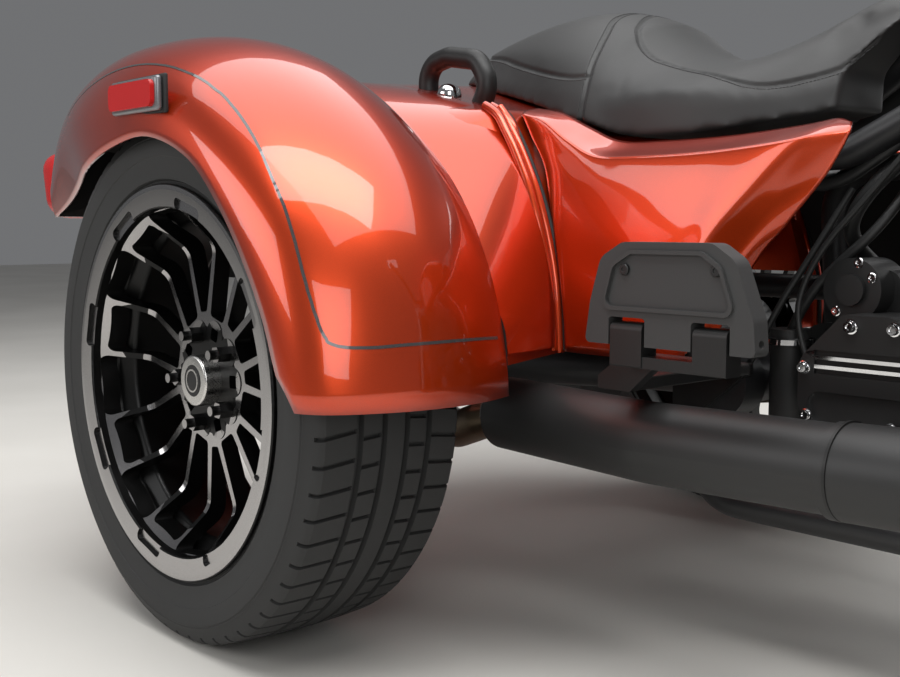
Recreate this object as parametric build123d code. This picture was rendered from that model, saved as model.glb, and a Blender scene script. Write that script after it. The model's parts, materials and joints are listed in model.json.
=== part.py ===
from build123d import *
import os
from math import atan2, cos, pi, radians, sin, sqrt, tan

# Motorized trike, millimetres. X forward, Y to the left, Z up, floor at Z = 0.
# Places along X below are measured from the rear axle. At the end everything is moved so
# that the origin lies on the floor under the middle of the trike.

# Wheels and steering geometry
WHEELBASE = 1670
REAR_TRACK = 1110
REAR_TYRE_R = 325.5
REAR_TYRE_W = 213
REAR_BEAD_R = 229
REAR_FLANGE_R = 243
REAR_RIM_HALF = 104
FRONT_TYRE_R = 319.3
FRONT_TYRE_W = 130
FRONT_BEAD_R = 241.5
FRONT_FLANGE_R = 254
FRONT_RIM_HALF = 50
FLANGE_T = 6
BEAD_GAP = 1
RAKE = 26
FORK_OFFSET = 50
FORK_SPREAD = 210

# Overall
TAIL_X = -650
FRONT_END = WHEELBASE + FRONT_TYRE_R
X_MID = (FRONT_END + TAIL_X) / 2

# Body
WALL = 5
SKIN = 8
WELL_GAP = 24.5
HALF_BODY = REAR_TRACK / 2 - REAR_TYRE_W / 2 - WELL_GAP
FENDER_GAP = 1
FENDER_LOW = REAR_TYRE_R + 2.5
FENDER_TAIL = -520
FENDER_REAR_Z = 528
SEAM_Y = 280
PANEL_LOW = 362
TRUNK_FLOOR = 462
TRUNK_FRONT = 60
LID_FRONT = -150
LID_REAR = -560
LID_HALF = 300
LID_GAP = 6
LID_PIN_D = 8
LID_PIN_X = LID_FRONT - 52
LID_PIN_Z = 714
LIP_FRONT_X = 312

# Frame and engine
TUBE_D = 35
RAIL_Y = 160
RAIL_Z = 185
SEAT_RAIL_Z = 590
PIVOT_X = 463
PIVOT_Z = 331
PIVOT_IN = 138
HEAD_LOW_Z = 700
HEAD_HIGH_Z = 850
HEAD_D = 62
CRANK_X = 830
CRANK_Z = 335
CYL_ANGLE = 22.5
CYL_D = 146
CYL_GAP = 4
CYL_BASE = 125
CYL_DECK = 262
HEAD_TOP = 318

# Running clearances
SPIN_GAP = 0.05
SEAT_GAP = 0.5
PLATE_Y = 146
PLATE_Z = 70
STEP_Y = 400
STEP_HINGE_Z = 408
STEP_THICK = 22
STEP_PIN_D = 8
STEP_SIDE_GAP = 3
BOARD_HINGE_Y = 312
BOARD_HINGE_Z = 298
BOARD_POSTS = (984, 1146)
BOARD_PIN_D = 8
AXLE_D = 25
SPINDLE_D = 50
GEAR_COVER_Y = 200
HANDLE_Y = 250
HANDLE_D = 28


def face_of(rows, plane):
    """Face on a plane from rows of (along, across, corner radius)."""
    line = FilletPolyline(*[(a, b) for a, b, r in rows], radius=[r for a, b, r in rows], close=True)
    return plane * make_face(line)


def slab(rows, y_low, y_high):
    """Side outline, rows of (x, z, corner radius), drawn out from y_low to y_high."""
    return extrude(face_of(rows, Plane.XZ.offset(-y_low)), amount=y_low - y_high)


def plate(rows, z_low, z_high):
    """Plan outline, rows of (x, y, corner radius), drawn up from z_low to z_high."""
    return extrude(face_of(rows, Plane.XY.offset(z_low)), amount=z_high - z_low)


def wall(rows, x_low, x_high):
    """Front outline, rows of (y, z, corner radius), drawn out from x_low to x_high."""
    return extrude(face_of(rows, Plane.YZ.offset(x_low)), amount=x_high - x_low)


def turned(rows, centre):
    """Ring about an axle along Y, rows of (y, radius, corner radius)."""
    return Pos(*centre) * revolve(face_of(rows, Plane.YZ), Axis.Y)


def rod(start, end, d):
    """Round bar between two points."""
    run = Vector(*end) - Vector(*start)
    return extrude(Plane(origin=start, z_dir=run) * Circle(d / 2), amount=run.length)


def pipe(points, radius, d):
    """Round bar along straight runs joined by arcs."""
    path = FilletPolyline(*points, radius=radius)
    return sweep(Plane(path @ 0, z_dir=path % 0) * Circle(d / 2), path=path)


def both(part):
    """The part and its mirror image on the other side."""
    return part + mirror(part, about=Plane.XZ)


def other(part):
    """The mirror image on the other side."""
    return mirror(part, about=Plane.XZ)


def biggest(part):
    """The largest of the solids that a cut leaves."""
    return part.solids().sort_by(SortBy.VOLUME)[-1]


def moved(part, x, y, z):
    return Pos(x, y, z) * part


# Steering axis: runs through the point on the floor and leans back by the rake.
TRAIL = FRONT_TYRE_R * tan(radians(RAKE)) - FORK_OFFSET / cos(radians(RAKE))
STEER_FLOOR_X = WHEELBASE + TRAIL
AXIS = (-sin(radians(RAKE)), 0, cos(radians(RAKE)))


def on_axis(z):
    """Point of the steering axis at a height."""
    return (STEER_FLOOR_X - z * tan(radians(RAKE)), 0, z)


def on_leg(s, y):
    """Point of a fork leg, s up from the front axle."""
    return (WHEELBASE + s * AXIS[0], y, FRONT_TYRE_R + s * AXIS[2])


def tyre(centre, tread_r, bead_r, width, rim_half, flange_r):
    """Tyre on its rim: bead inside the flanges, bulged side and rounded shoulder."""
    half = width / 2
    bead = rim_half - FLANGE_T - BEAD_GAP
    side = [(bead, bead_r, 0), (bead, flange_r + 4, 4), (half, 0.5 * (tread_r + flange_r) - 4, 16),
            (half - 10, tread_r - 16, 14), (half - 30, tread_r, 24)]
    rows = side + [(-y, r, c) for y, r, c in reversed(side)]
    return turned(rows, centre)


# Rear wheel, drawn on the left with its outer side at +Y.
SPOKE_PAIRS = 8
PAIR_TURN = -7
SPOKE_W = 7
SPOKE_DEPTH = 22
RIM_WALL = 7
DROP_DEPTH = 20
BAND_LOW_R = 214
BAND_Y = 101
BAND_T = 12
PAD_DEPTH = 3
HUB_FACE = 44
HUB_BACK = 12
HUB_CORE_R = 58
LOBE_R = 19
LOBE_AT = 58
LUG_TURN = -20
KNEE_R = 168
KNEE_Y = 39
CAP_R = 32
CAP_OUT = 22
# Lateral place of a spoke's middle line from the line between its two hub arms: radius, half gap.
HUB_END, KNEE_END, RIM_END = (77, 11), (171, 35), (224, 51)


def wheel_barrel():
    """Rim barrel with flanges, bead seats, drop centre and the machined outer band."""
    half, wall_r = REAR_RIM_HALF, RIM_WALL
    seat = REAR_BEAD_R - SEAT_GAP
    drop = seat - DROP_DEPTH
    outer = [
        (half, REAR_FLANGE_R, 2), (half - FLANGE_T, REAR_FLANGE_R, 2), (half - FLANGE_T, seat, 0),
        (56, seat, 6), (40, drop, 10), (-40, drop, 10), (-56, seat, 6),
        (-half + FLANGE_T, seat, 0), (-half + FLANGE_T, REAR_FLANGE_R, 2), (-half, REAR_FLANGE_R, 2),
    ]
    inner = [
        (-half, REAR_FLANGE_R - 6, 2), (-half + 10, seat - wall_r, 4), (-58, seat - wall_r, 6),
        (-44, drop - wall_r, 8), (44, drop - wall_r, 8), (60, seat - wall_r, 6),
        (BAND_Y - BAND_T - 4, seat - wall_r, 0), (BAND_Y - BAND_T, BAND_LOW_R, 0),
        (BAND_Y, BAND_LOW_R, 2), (half, REAR_FLANGE_R - 7, 2),
    ]
    return turned(outer + inner, (0, 0, 0))


def spoke_window(rows, turn):
    """Opening through the dish from rows of (half width, radius, corner radius)."""
    outline = [(w, r, c) for w, r, c in rows] + [(-w, r, c) for w, r, c in reversed(rows)]
    return Rot(0, turn, 0) * slab(outline, -10, BAND_Y + 20)


def rear_wheel():
    """Dished wheel: eight hub arms that each split into two blades, rim pads, hub and lugs."""
    front = [(HUB_FACE, 50, 0), (KNEE_Y, KNEE_R, 26), (BAND_Y - 4, BAND_LOW_R + 8, 0)]
    back = [(BAND_Y - BAND_T - 14, BAND_LOW_R + 8, 0), (KNEE_Y - SPOKE_DEPTH, KNEE_R + 12, 26),
            (HUB_FACE - SPOKE_DEPTH, 50, 0)]
    wheel = turned(front + back, (0, 0, 0))
    pitch = 360 / SPOKE_PAIRS
    half_w = SPOKE_W / 2

    def pad_side(end):
        """Half gap on the pad's side of a blade at the same radius."""
        radius, gap = end
        return radius * sin(radians(pitch / 2) - atan2(gap, radius)) - half_w

    fork_window = [(HUB_END[1] - half_w, HUB_END[0] + 8, 4), (KNEE_END[1] - half_w, KNEE_END[0], 40),
                   (RIM_END[1] - half_w - 4, BAND_LOW_R - 1, 9)]
    pad_window = [(pad_side(HUB_END), HUB_END[0] + 2, 6), (pad_side(KNEE_END), KNEE_END[0], 40),
                  (pad_side(RIM_END), BAND_LOW_R - 8, 8)]
    for k in range(SPOKE_PAIRS):
        wheel = wheel - spoke_window(fork_window, PAIR_TURN + k * pitch)
        wheel = wheel - spoke_window(pad_window, PAIR_TURN + (k + 0.5) * pitch)
    wheel = wheel + wheel_barrel()
    wheel = wheel + turned([(HUB_FACE, 0, 0), (HUB_FACE, HUB_CORE_R, 3), (HUB_BACK, HUB_CORE_R, 3),
                            (HUB_BACK, 0, 0)], (0, 0, 0))
    lobe = extrude(Plane.XZ.offset(-HUB_BACK) * Circle(LOBE_R), amount=-(HUB_FACE - HUB_BACK))
    recess = slab([(-8, -7, 3), (-8, 9, 3), (8, 9, 3), (8, -7, 3)], HUB_FACE - 9, HUB_FACE + 5)
    nut = extrude(Plane.XZ.offset(-HUB_FACE + 1) * RegularPolygon(10.5, 6), amount=-17)
    nut = nut + extrude(Plane.XZ.offset(-HUB_FACE + 1) * Circle(6), amount=-27)
    for k in range(5):
        wheel = wheel + Rot(0, LUG_TURN + k * 72, 0) * Pos(0, 0, LOBE_AT) * lobe
        wheel = wheel + Rot(0, LUG_TURN + 36 + k * 72, 0) * Pos(0, 0, LOBE_AT) * lobe
    for k in range(5):
        wheel = wheel + Rot(0, LUG_TURN + k * 72, 0) * Pos(0, 0, LOBE_AT) * nut
        wheel = wheel - Rot(0, LUG_TURN + 36 + k * 72, 0) * Pos(0, 0, LOBE_AT) * recess
    cap = turned([(HUB_FACE - 2, 0, 0), (HUB_FACE - 2, CAP_R, 0), (HUB_FACE + CAP_OUT, CAP_R, 3),
                  (HUB_FACE + CAP_OUT, 0, 0)], (0, 0, 0))
    wheel = wheel + cap
    pad = slab([(-29, BAND_LOW_R - 3, 7), (-31, BAND_LOW_R + 13, 7), (31, BAND_LOW_R + 13, 7),
                (29, BAND_LOW_R - 3, 7)], BAND_Y - PAD_DEPTH, BAND_Y + 10)
    for k in range(SPOKE_PAIRS):
        wheel = wheel - Rot(0, PAIR_TURN + (k + 0.5) * pitch, 0) * pad
    bore = extrude(Plane.XZ.offset(-HUB_BACK + 1) * Circle(SPINDLE_D / 2 + SPIN_GAP), amount=-HUB_FACE + 6)
    return wheel - bore


def front_wheel():
    """Cast front wheel with two brake discs on its hub."""
    half, seat = FRONT_RIM_HALF, FRONT_BEAD_R - SEAT_GAP
    rows = [
        (half, FRONT_FLANGE_R, 2), (half - FLANGE_T, FRONT_FLANGE_R, 2), (half - FLANGE_T, seat, 0),
        (24, seat, 4), (14, seat - 14, 5), (-14, seat - 14, 5), (-24, seat, 4), (-half + FLANGE_T, seat, 0),
        (-half + FLANGE_T, FRONT_FLANGE_R, 2), (-half, FRONT_FLANGE_R, 2), (-half + 4, seat - 7, 3),
        (-22, seat - 7, 4), (-15, seat - 22, 5), (15, seat - 22, 5), (22, seat - 7, 4), (half - 4, seat - 7, 3),
    ]
    rim = turned(rows, (0, 0, 0))
    disc = turned([(-11, 40, 0), (11, 40, 0), (9, seat - 10, 0), (-9, seat - 10, 0)], (0, 0, 0))
    for k in range(10):
        rows = [(-8, 70, 4), (-52, seat - 24, 10), (52, seat - 24, 10), (8, 70, 4)]
        disc = disc - Rot(0, k * 36, 0) * slab(rows, -20, 20)
    hub = turned([(-70, 14, 0), (-70, 34, 4), (-20, 44, 6), (20, 44, 6), (70, 34, 4), (70, 14, 0)], (0, 0, 0))
    hub = hub - extrude(Plane.XZ.offset(-80) * Circle(AXLE_D / 2 + SPIN_GAP), amount=160)
    wheel = rim + disc + hub
    for side in (-1, 1):
        rows = [(side * 59.5, 30, 0), (side * 64.5, 30, 0), (side * 64.5, 150, 0), (side * 59.5, 150, 0)]
        wheel = wheel + turned(rows, (0, 0, 0))
    return wheel


# Fender sections, fanned about a line along Y through this point of the wheel's side view.
FAN_X = -60
FAN_Z = FENDER_LOW
FAN_LOW = 200
CREST_Y = 30
FENDER_ROWS = [  # angle up from the front, crown radius, outer side from the wheel plane, shoulder, inner drop
    (0, 446, 125, 50, 16), (30, 436, 128, 62, 26), (60, 420, 128, 90, 34), (90, 432, 128, 115, 26),
    (115, 462, 114, 120, 20), (135, 520, 75, 110, 14), (160, 604, 8, 70, 10),
]


def fender_section(angle, crown, out, shoulder, drop, inset):
    """Cross-section of the fender: outer side, round shoulder, shallow crown and inner side."""
    inner = REAR_TRACK / 2 - HALF_BODY - FENDER_GAP
    sweep_r = ((inner - CREST_Y) ** 2 + drop ** 2) / (2 * drop)
    centre = crown - sweep_r
    mid_y = shoulder - out
    rise = sqrt((sweep_r - shoulder) ** 2 - (mid_y - CREST_Y) ** 2)
    turn = atan2(rise, mid_y - CREST_Y)
    end = atan2(sqrt(sweep_r ** 2 - (inner - CREST_Y) ** 2), inner - CREST_Y)
    edge_z = sqrt((sweep_r - inset) ** 2 - (inner - inset - CREST_Y) ** 2)
    r, big = shoulder - inset, sweep_r - inset
    low = FAN_LOW - 2 * inset
    side_top = (inset - out, centre + rise)
    lean = (pi + turn) / 2
    shoulder_mid = (mid_y + r * cos(lean), centre + rise + r * sin(lean))
    crown_start = (CREST_Y + big * cos(turn), centre + big * sin(turn))
    across = (turn + end) / 2
    crown_mid = (CREST_Y + big * cos(across), centre + big * sin(across))
    crown_end = (inner - inset, centre + edge_z)
    edges = [
        Line((inset - out, low), side_top), ThreePointArc(side_top, shoulder_mid, crown_start),
        ThreePointArc(crown_start, crown_mid, crown_end), Line(crown_end, (inner - inset, low)),
        Line((inner - inset, low), (inset - out, low)),
    ]
    a = radians(angle)
    plane = Plane(origin=(FAN_X, 0, FAN_Z), x_dir=(0, 1, 0), z_dir=(sin(a), 0, -cos(a)))
    return plane * make_face(Wire(edges))


def fender_block(inset):
    """Fender filled in, right side, its wheel plane at Y = 0 and outer side at -Y."""
    sections = [fender_section(*row, inset) for row in FENDER_ROWS]
    block = loft(sections)
    if inset:
        block = block + extrude(sections[0], amount=-20, dir=(0, 0, 1))
    return block


def fender(full):
    """Painted fender over the right rear wheel, open below and at the wheel."""
    lip = make_face(
        Polyline((-76, 616), (FENDER_TAIL - 20, FENDER_REAR_Z), (FENDER_TAIL - 200, FENDER_REAR_Z),
                 (FENDER_TAIL - 200, 0), (LIP_FRONT_X, 0), (LIP_FRONT_X, 340), (284, 358))
        + ThreePointArc((284, 358), (232, 471), (112, 600))
        + ThreePointArc((112, 600), (20, 628), (-76, 616))
    )
    kept = Pos(FENDER_TAIL + 1000, 0, 500) * Box(2000, 2000, 2000)
    shell = (full & kept) - (fender_block(WALL) & moved(kept, WALL, 0, 0))
    return shell - extrude(Plane.XZ.offset(400) * lip, amount=-800)


# Side outlines of the trunk body at three distances from the middle: x, z, corner radius.
BESIDE_FENDER = [
    (-500, 470, 20), (-512, 560, 40), (-480, 622, 60), (-400, 670, 150), (-60, 726, 300),
    (128, 653, 300), (290, 525, 250), (358, 400, 60), (361, PANEL_LOW, 0),
]
AT_SEAM = [
    (-620, 440, 20), (-634, 560, 40), (-575, 690, 90), (-300, 738, 300), (-20, 714, 300),
    (196, 664, 24), (264, 568, 120), (301, 445, 60), (303, PANEL_LOW, 0),
]
AT_MIDDLE = [
    (-620, 440, 20), (-640, 560, 40), (-580, 705, 90), (-300, 757, 300), (-20, 726, 300),
    (188, 668, 24), (260, 568, 120), (298, 445, 60), (300, PANEL_LOW, 0),
]
SEAM_PATH = [(188, 668), (212, 644), (249, 562), (282, 482), (296, 436), (297, PANEL_LOW)]
BEAD_D = 11
BEAD_STEPS = (6, -8)


def side_face(rows, y):
    """Side outline at a distance from the middle."""
    return face_of(rows, Plane.XZ.offset(-y))


def body_block():
    """Trunk body filled in: crowned between the seams, falling to the fenders outside them."""
    middle = loft([side_face(AT_SEAM, -SEAM_Y), side_face(AT_MIDDLE, 0), side_face(AT_SEAM, SEAM_Y)])
    outside = loft([side_face(BESIDE_FENDER, -HALF_BODY), side_face(AT_SEAM, -SEAM_Y)], ruled=True)
    return middle + both(outside)


def lid_plan(gap):
    """Plan of the trunk opening, or of the lid inside it."""
    r = 40 - gap
    return plate([(LID_REAR + gap, -LID_HALF + gap, r), (LID_FRONT - gap, -LID_HALF + gap, r),
                  (LID_FRONT - gap, LID_HALF - gap, r), (LID_REAR + gap, LID_HALF - gap, r)], 500, 900)


def block_of(x0, x1, half_y, z0, z1):
    """Block between two lengths and heights, centred across."""
    return Pos((x0 + x1) / 2, 0, (z0 + z1) / 2) * Box(x1 - x0, 2 * half_y, z1 - z0)


def trunk_body(block):
    """Body between the fenders: hollow luggage space, open throat over the axle and lid pivots."""
    half = HALF_BODY - SKIN
    luggage = moved(block, SKIN, 0, -SKIN) & block_of(-700, TRUNK_FRONT, half, TRUNK_FLOOR, 900)
    under = moved(block, -SKIN, 0, -SKIN)
    front_bay = under & block_of(TRUNK_FRONT + SKIN, 400, half, 300, 900)
    floor_bay = block_of(-700, 400, half, 300, TRUNK_FLOOR - SKIN)
    floor_bay = floor_bay - block_of(TRUNK_FRONT + SKIN, 500, 1000, 0, 900)
    wells = block_of(-700, 240, 1000, 300, 440)
    body = block - luggage - front_bay - floor_bay - lid_plan(0) - wells
    body = body - block_of(TRUNK_FRONT + 20, 500, SEAM_Y - 30, 300, 640)
    for step in BEAD_STEPS:
        path = [(x + step, -SEAM_Y - 1, z) for x, z in SEAM_PATH]
        body = body + both(pipe(path, [24, 60, 60, 24], BEAD_D))
    boss = block_of(LID_PIN_X - 11, LID_PIN_X + 11, 10, LID_PIN_Z - 9, LID_PIN_Z + 5)
    pin = rod((LID_PIN_X, LID_HALF - 32, LID_PIN_Z), (LID_PIN_X, LID_HALF + 14, LID_PIN_Z), LID_PIN_D)
    return body + both(moved(boss, 0, LID_HALF + 16, 0)) + both(pin)


def trunk_lid(block):
    """Lid over the luggage space with a lug on each side for its pivot pins."""
    lid = (block - moved(block, 0, 0, -WALL)) & lid_plan(LID_GAP)
    lug = block_of(LID_PIN_X - 11, LID_PIN_X + 11, 7, LID_PIN_Z - 10, LID_PIN_Z + 10)
    lid = lid + both(moved(lug, 0, LID_HALF - 17, 0))
    bore = rod((LID_PIN_X, -LID_HALF - 20, LID_PIN_Z), (LID_PIN_X, LID_HALF + 20, LID_PIN_Z),
               LID_PIN_D + 2 * SPIN_GAP)
    return lid - bore


# Ridge of the side cover from the seam forward: x, z, corner radius.
RIDGE = [(200, 660, 0), (240, 650, 30), (290, 622, 40), (335, 602, 60), (400, 598, 60), (505, 599, 60),
         (592, 606, 60), (640, 614, 10), (668, 616, 0)]
RIDGE_Y = 256
COVER_BULGE = 6
COVER_GAP = 7
LEDGE_IN = 50
LEDGE_UP = 22


def cover_block():
    """Side cover filled in: bulged side, and a nose that turns inward ahead of its crease."""
    front = [(676, 604, 6), (644, 575, 60), (614, 542, 60), (582, 514, 60), (548, 468, 60), (505, PANEL_LOW, 20)]
    rear = [(303 + COVER_GAP, PANEL_LOW, 4), (303 + COVER_GAP, 437, 60), (262 + COVER_GAP, 560, 60)]
    side = slab(RIDGE + front + rear, -SEAM_Y - 40, -100)
    bulge = wall([(-SEAM_Y - 4, 340, 0), (-SEAM_Y - 4 - COVER_BULGE, 470, 200), (-RIDGE_Y, 600, 0),
                  (-RIDGE_Y, 700, 0), (-90, 700, 0), (-90, 340, 0)], 150, 720)
    nose = Plane((585, -RIDGE_Y - 4, 604), x_dir=(-0.62, 0, -0.78), z_dir=(0.4, -0.86, -0.32))
    cut = extrude(nose * Rectangle(600, 600), amount=300)
    return (side & bulge) - cut


def side_cover():
    """Painted cover below the seat on the right, with the ledge that rises to the seat."""
    block = cover_block()
    skin = block - moved(block, 0, WALL, 0)
    band = RIDGE + [(x, z - WALL, 0) for x, z, r in reversed(RIDGE)]
    ledge = extrude(face_of(band, Plane.XZ.offset(RIDGE_Y)), amount=sqrt(LEDGE_IN ** 2 + LEDGE_UP ** 2),
                    dir=(0, LEDGE_IN, LEDGE_UP))
    limit = slab([(150, 500, 0), (150, 668, 0), (215, 663, 0), (262, 648, 60), (304, 640, 0), (760, 660, 0),
                  (760, 500, 0)], -RIDGE_Y - 10, -100)
    return skin + (ledge & limit)


# Seat sections: x, base half width, base z, shoulder half width, shoulder z, crown z.
SEAT_REAR = [
    (-84, 96, 726, 92, 742, 778), (0, 138, 714, 135, 736, 800), (90, 165, 696, 162, 714, 815),
    (170, 182, 674, 178, 698, 815), (262, 190, 647, 186, 676, 788),
]
SEAT_FRONT = [
    (262, 190, 647, 186, 676, 788), (350, 192, 626, 188, 676, 734), (440, 188, 628, 184, 672, 728),
    (530, 164, 638, 160, 668, 757), (610, 132, 652, 128, 688, 792), (684, 100, 700, 96, 724, 806),
]
TANK_GAP = 4


def cushion(rows):
    """Cushion through its cross-sections: flat base, short sides and an arched top."""
    faces = []
    for x, base, low, half, side, crown in rows:
        line = [Line((-base, low), (-half, side)), ThreePointArc((-half, side), (0, crown), (half, side)),
                Line((half, side), (base, low)), Line((base, low), (-base, low))]
        faces.append(Plane((x, 0, 0), x_dir=(0, 1, 0), z_dir=(1, 0, 0)) * make_face(Wire(line)))
    return loft(faces)


def seat_parts():
    """Passenger and rider parts of the two-up seat, as filled cushions over the frame's tubes."""
    tunnel = slab([(400, 560, 0), (400, 640, 10), (600, 766, 20), (700, 766, 0), (700, 560, 0)], -34, 34)
    pocket = slab([(588, 560, 0), (588, 690, 10), (636, 745, 10), (700, 745, 0), (700, 560, 0)], -150, 150)
    return cushion(SEAT_REAR), cushion(SEAT_FRONT) - tunnel - pocket


STEP_NOTCHES = [(498, 546), (604, 650)]
STEP_NOTCH_TOP = STEP_HINGE_Z + 17
STEP_BAR_Z = STEP_HINGE_Z - 34
STEP_BAR_H = 12


def footboard():
    """Passenger footboard folded up beside the side cover, right side."""
    rows = [(465, 396, 6), (472, 440, 20), (486, 486, 20), (515, 502, 20), (628, 502, 20),
            (654, 486, 20), (676, 430, 20), (679, 396, 6)]
    y = STEP_Y - STEP_THICK / 2
    board = slab(rows, -y - STEP_THICK, -y)
    rim = slab([(489, 432, 10), (502, 480, 14), (526, 494, 14), (618, 494, 14), (640, 480, 14),
                (658, 432, 10)], -y - STEP_THICK - 3, -y - 1)
    dish = slab([(493, 436, 8), (505, 477, 12), (528, 490, 12), (616, 490, 12), (637, 477, 12),
                 (653, 436, 8)], -y - STEP_THICK - 8, -y - STEP_THICK + 1)
    board = board + rim - dish
    for x0, x1 in STEP_NOTCHES:
        board = board - slab([(x0, 380, 0), (x0, STEP_NOTCH_TOP, 4), (x1, STEP_NOTCH_TOP, 4), (x1, 380, 0)],
                             -STEP_Y - 20, -STEP_Y + 20)
    hole = Pos(570, -STEP_Y, STEP_HINGE_Z) * Rot(0, 90, 0) * Cylinder(STEP_PIN_D / 2 + SPIN_GAP, 400)
    return board - hole


def board_bracket():
    """Bracket that carries the passenger footboard from the frame, with its hinge pin."""
    y, z, g = -STEP_Y, STEP_HINGE_Z, STEP_SIDE_GAP
    low, high = STEP_BAR_Z, STEP_BAR_Z + STEP_BAR_H
    part = rod((490, y, z), (658, y, z), STEP_PIN_D)
    for x0, x1 in STEP_NOTCHES:
        ear = wall([(y - 12, low, 2), (y - 12, z + 12, 8), (y + 12, z + 12, 8), (y + 12, low, 2)],
                   x0 + g, x1 - g)
        part = part + ear
    part = part + slab([(502, low, 4), (502, high, 5), (646, high, 5), (646, low, 4)], y - 11, y + 28)
    web = slab([(462, 344, 0), (462, 358, 0), (500, high, 4), (540, high, 0), (540, low, 0), (506, 344, 0)],
               y + 14, y + 28)
    arm = slab([(462, 344, 2), (462, 358, 2), (506, 358, 2), (506, 344, 2)], y + 14, -RAIL_Y - 18)
    gusset = slab([(404, 296, 8), (404, 358, 8), (506, 358, 2), (506, 344, 2), (446, 296, 8)],
                  -RAIL_Y - 26, -RAIL_Y - 6)
    return part + web + arm + gusset


def frame():
    """Welded tube frame: backbone, steering head, downtubes, lower rails and rear rails."""
    low, high = on_axis(HEAD_LOW_Z), on_axis(HEAD_HIGH_Z)
    head = rod(low, high, HEAD_D)
    spine = pipe([on_axis(HEAD_HIGH_Z - 60), (1150, 0, 735), (620, 0, 735), (402, 0, 590)], 120, 50)
    side = pipe([on_axis(HEAD_LOW_Z + 60), (1310, 70, 600), (1265, 128, 380), (1180, RAIL_Y, RAIL_Z),
                 (430, RAIL_Y, RAIL_Z), (402, RAIL_Y, SEAT_RAIL_Z), (600, 130, 598), (800, 100, 705),
                 (1150, 60, 708)], 60, TUBE_D)
    tie = rod((1150, -60, 708), (1150, 60, 708), TUBE_D)
    boss = rod((PIVOT_X, PIVOT_IN, PIVOT_Z), (PIVOT_X, RAIL_Y + 18, PIVOT_Z), 84)
    rear = pipe([(414, RAIL_Y, 430), (-250, RAIL_Y, 430), (-560, RAIL_Y, 436)], 60, TUBE_D)
    cross = rod((-540, -RAIL_Y, 434), (-540, RAIL_Y, 434), TUBE_D)
    mid = rod((100, -RAIL_Y, 430), (100, RAIL_Y, 430), TUBE_D)
    seat_cross = rod((402, -RAIL_Y, SEAT_RAIL_Z - 8), (402, RAIL_Y, SEAT_RAIL_Z - 8), TUBE_D)
    rails = both(side) + both(rear) + both(boss)
    body = head + spine + rails + cross + mid + seat_cross + tie
    bore = rod(on_axis(HEAD_LOW_Z - 5), on_axis(HEAD_HIGH_Z + 5), 30 + 2 * SPIN_GAP)
    return body - bore


def axle_carrier():
    """Swing arm with the rear axle housing, final drive and stub spindles."""
    z = REAR_TYRE_R
    tube_part = rod((0, -REAR_TRACK / 2 + 40, z), (0, REAR_TRACK / 2 - 40, z), 80)
    drive = Pos(0, 40, z) * Rot(90, 0, 0) * Cylinder(105, 110)
    arm = pipe([(0, 240, z), (280, 104, z), (PIVOT_X - 16, 104, PIVOT_Z)], 90, 54)
    ends = rod((0, REAR_TRACK / 2 - 60, z), (0, REAR_TRACK / 2 - 14, z), 120)
    spindle = rod((0, REAR_TRACK / 2 - 20, z), (0, REAR_TRACK / 2 + 30, z), SPINDLE_D)
    pivot = rod((PIVOT_X, -PIVOT_IN, PIVOT_Z), (PIVOT_X, PIVOT_IN, PIVOT_Z), 60)
    shock = rod((-70, 300, z + 10), (-70, 300, 446), 54)
    seat = rod((-70, 300, z), (0, 300, z), 30)
    return tube_part + drive + both(arm) + both(ends) + both(spindle) + pivot + both(shock) + both(seat)


def engine_case():
    """Crankcase with the gearbox behind it."""
    case = Pos(CRANK_X, 0, CRANK_Z) * Rot(90, 0, 0) * Cylinder(120, 210)
    sump = slab([(520, 215, 20), (520, 400, 40), (CRANK_X - 60, 430, 20), (CRANK_X + 80, 430, 30),
                 (CRANK_X + 130, 330, 40), (CRANK_X + 100, 215, 30)], -100, 100)
    side = -GEAR_COVER_Y
    cover = slab([(588, 305, 24), (588, 372, 30), (640, 424, 10), (712, 424, 20), (712, 300, 20)], side, -96)
    cover = cover - slab([(600, 303, 16), (600, 339, 16), (740, 339, 0), (740, 303, 0)], side - 5, side + 5)
    for z in (358, 368, 378):
        cover = cover - slab([(608, z, 0), (608, z + 6, 0), (740, z + 6, 0), (740, z, 0)], side - 5, side + 3)
    housing = slab([(584, 380, 0), (584, 470, 20), (668, 470, 20), (668, 380, 0)], -128, -20)
    starter = rod((624, -156, 448), (624, -100, 448), 70) + rod((624, -162, 448), (624, -150, 448), 34)
    filler = rod((544, -150, 290), (544, -150, 384), 44) + rod((544, -150, 382), (544, -150, 390), 58)
    filler = filler + rod((544, -150, 388), (544, -150, 400), 46)
    neck = slab([(528, 292, 4), (528, 350, 4), (560, 350, 4), (560, 292, 4)], -150, -90)
    return case + sump + cover + housing + starter + filler + neck


def cylinder(lean):
    """Finned cylinder with head and rocker box, leaning by an angle from upright."""
    def disc(z0, z1, d):
        return Pos(0, 0, z0) * Cylinder(d / 2, z1 - z0, align=(Align.CENTER, Align.CENTER, Align.MIN))

    part = disc(CYL_BASE - 30, HEAD_TOP, CYL_D - 40)
    count = 12
    step = (HEAD_TOP - CYL_BASE - 10) / count
    for k in range(count):
        part = part + disc(CYL_BASE + k * step, CYL_BASE + k * step + 6, CYL_D)
    box = Pos(0, 0, HEAD_TOP - 2) * Box(150, 130, 46, align=(Align.CENTER, Align.CENTER, Align.MIN))
    part = part + fillet(box.edges().filter_by(Axis.Z), 24)
    part = Pos(CRANK_X, 0, CRANK_Z) * Rot(0, lean, 0) * part
    side = 1 if lean > 0 else -1
    return part & Pos(CRANK_X + side * (CYL_GAP / 2 + 500), 0, CRANK_Z + 500) * Box(1000, 400, 1000)


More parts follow.
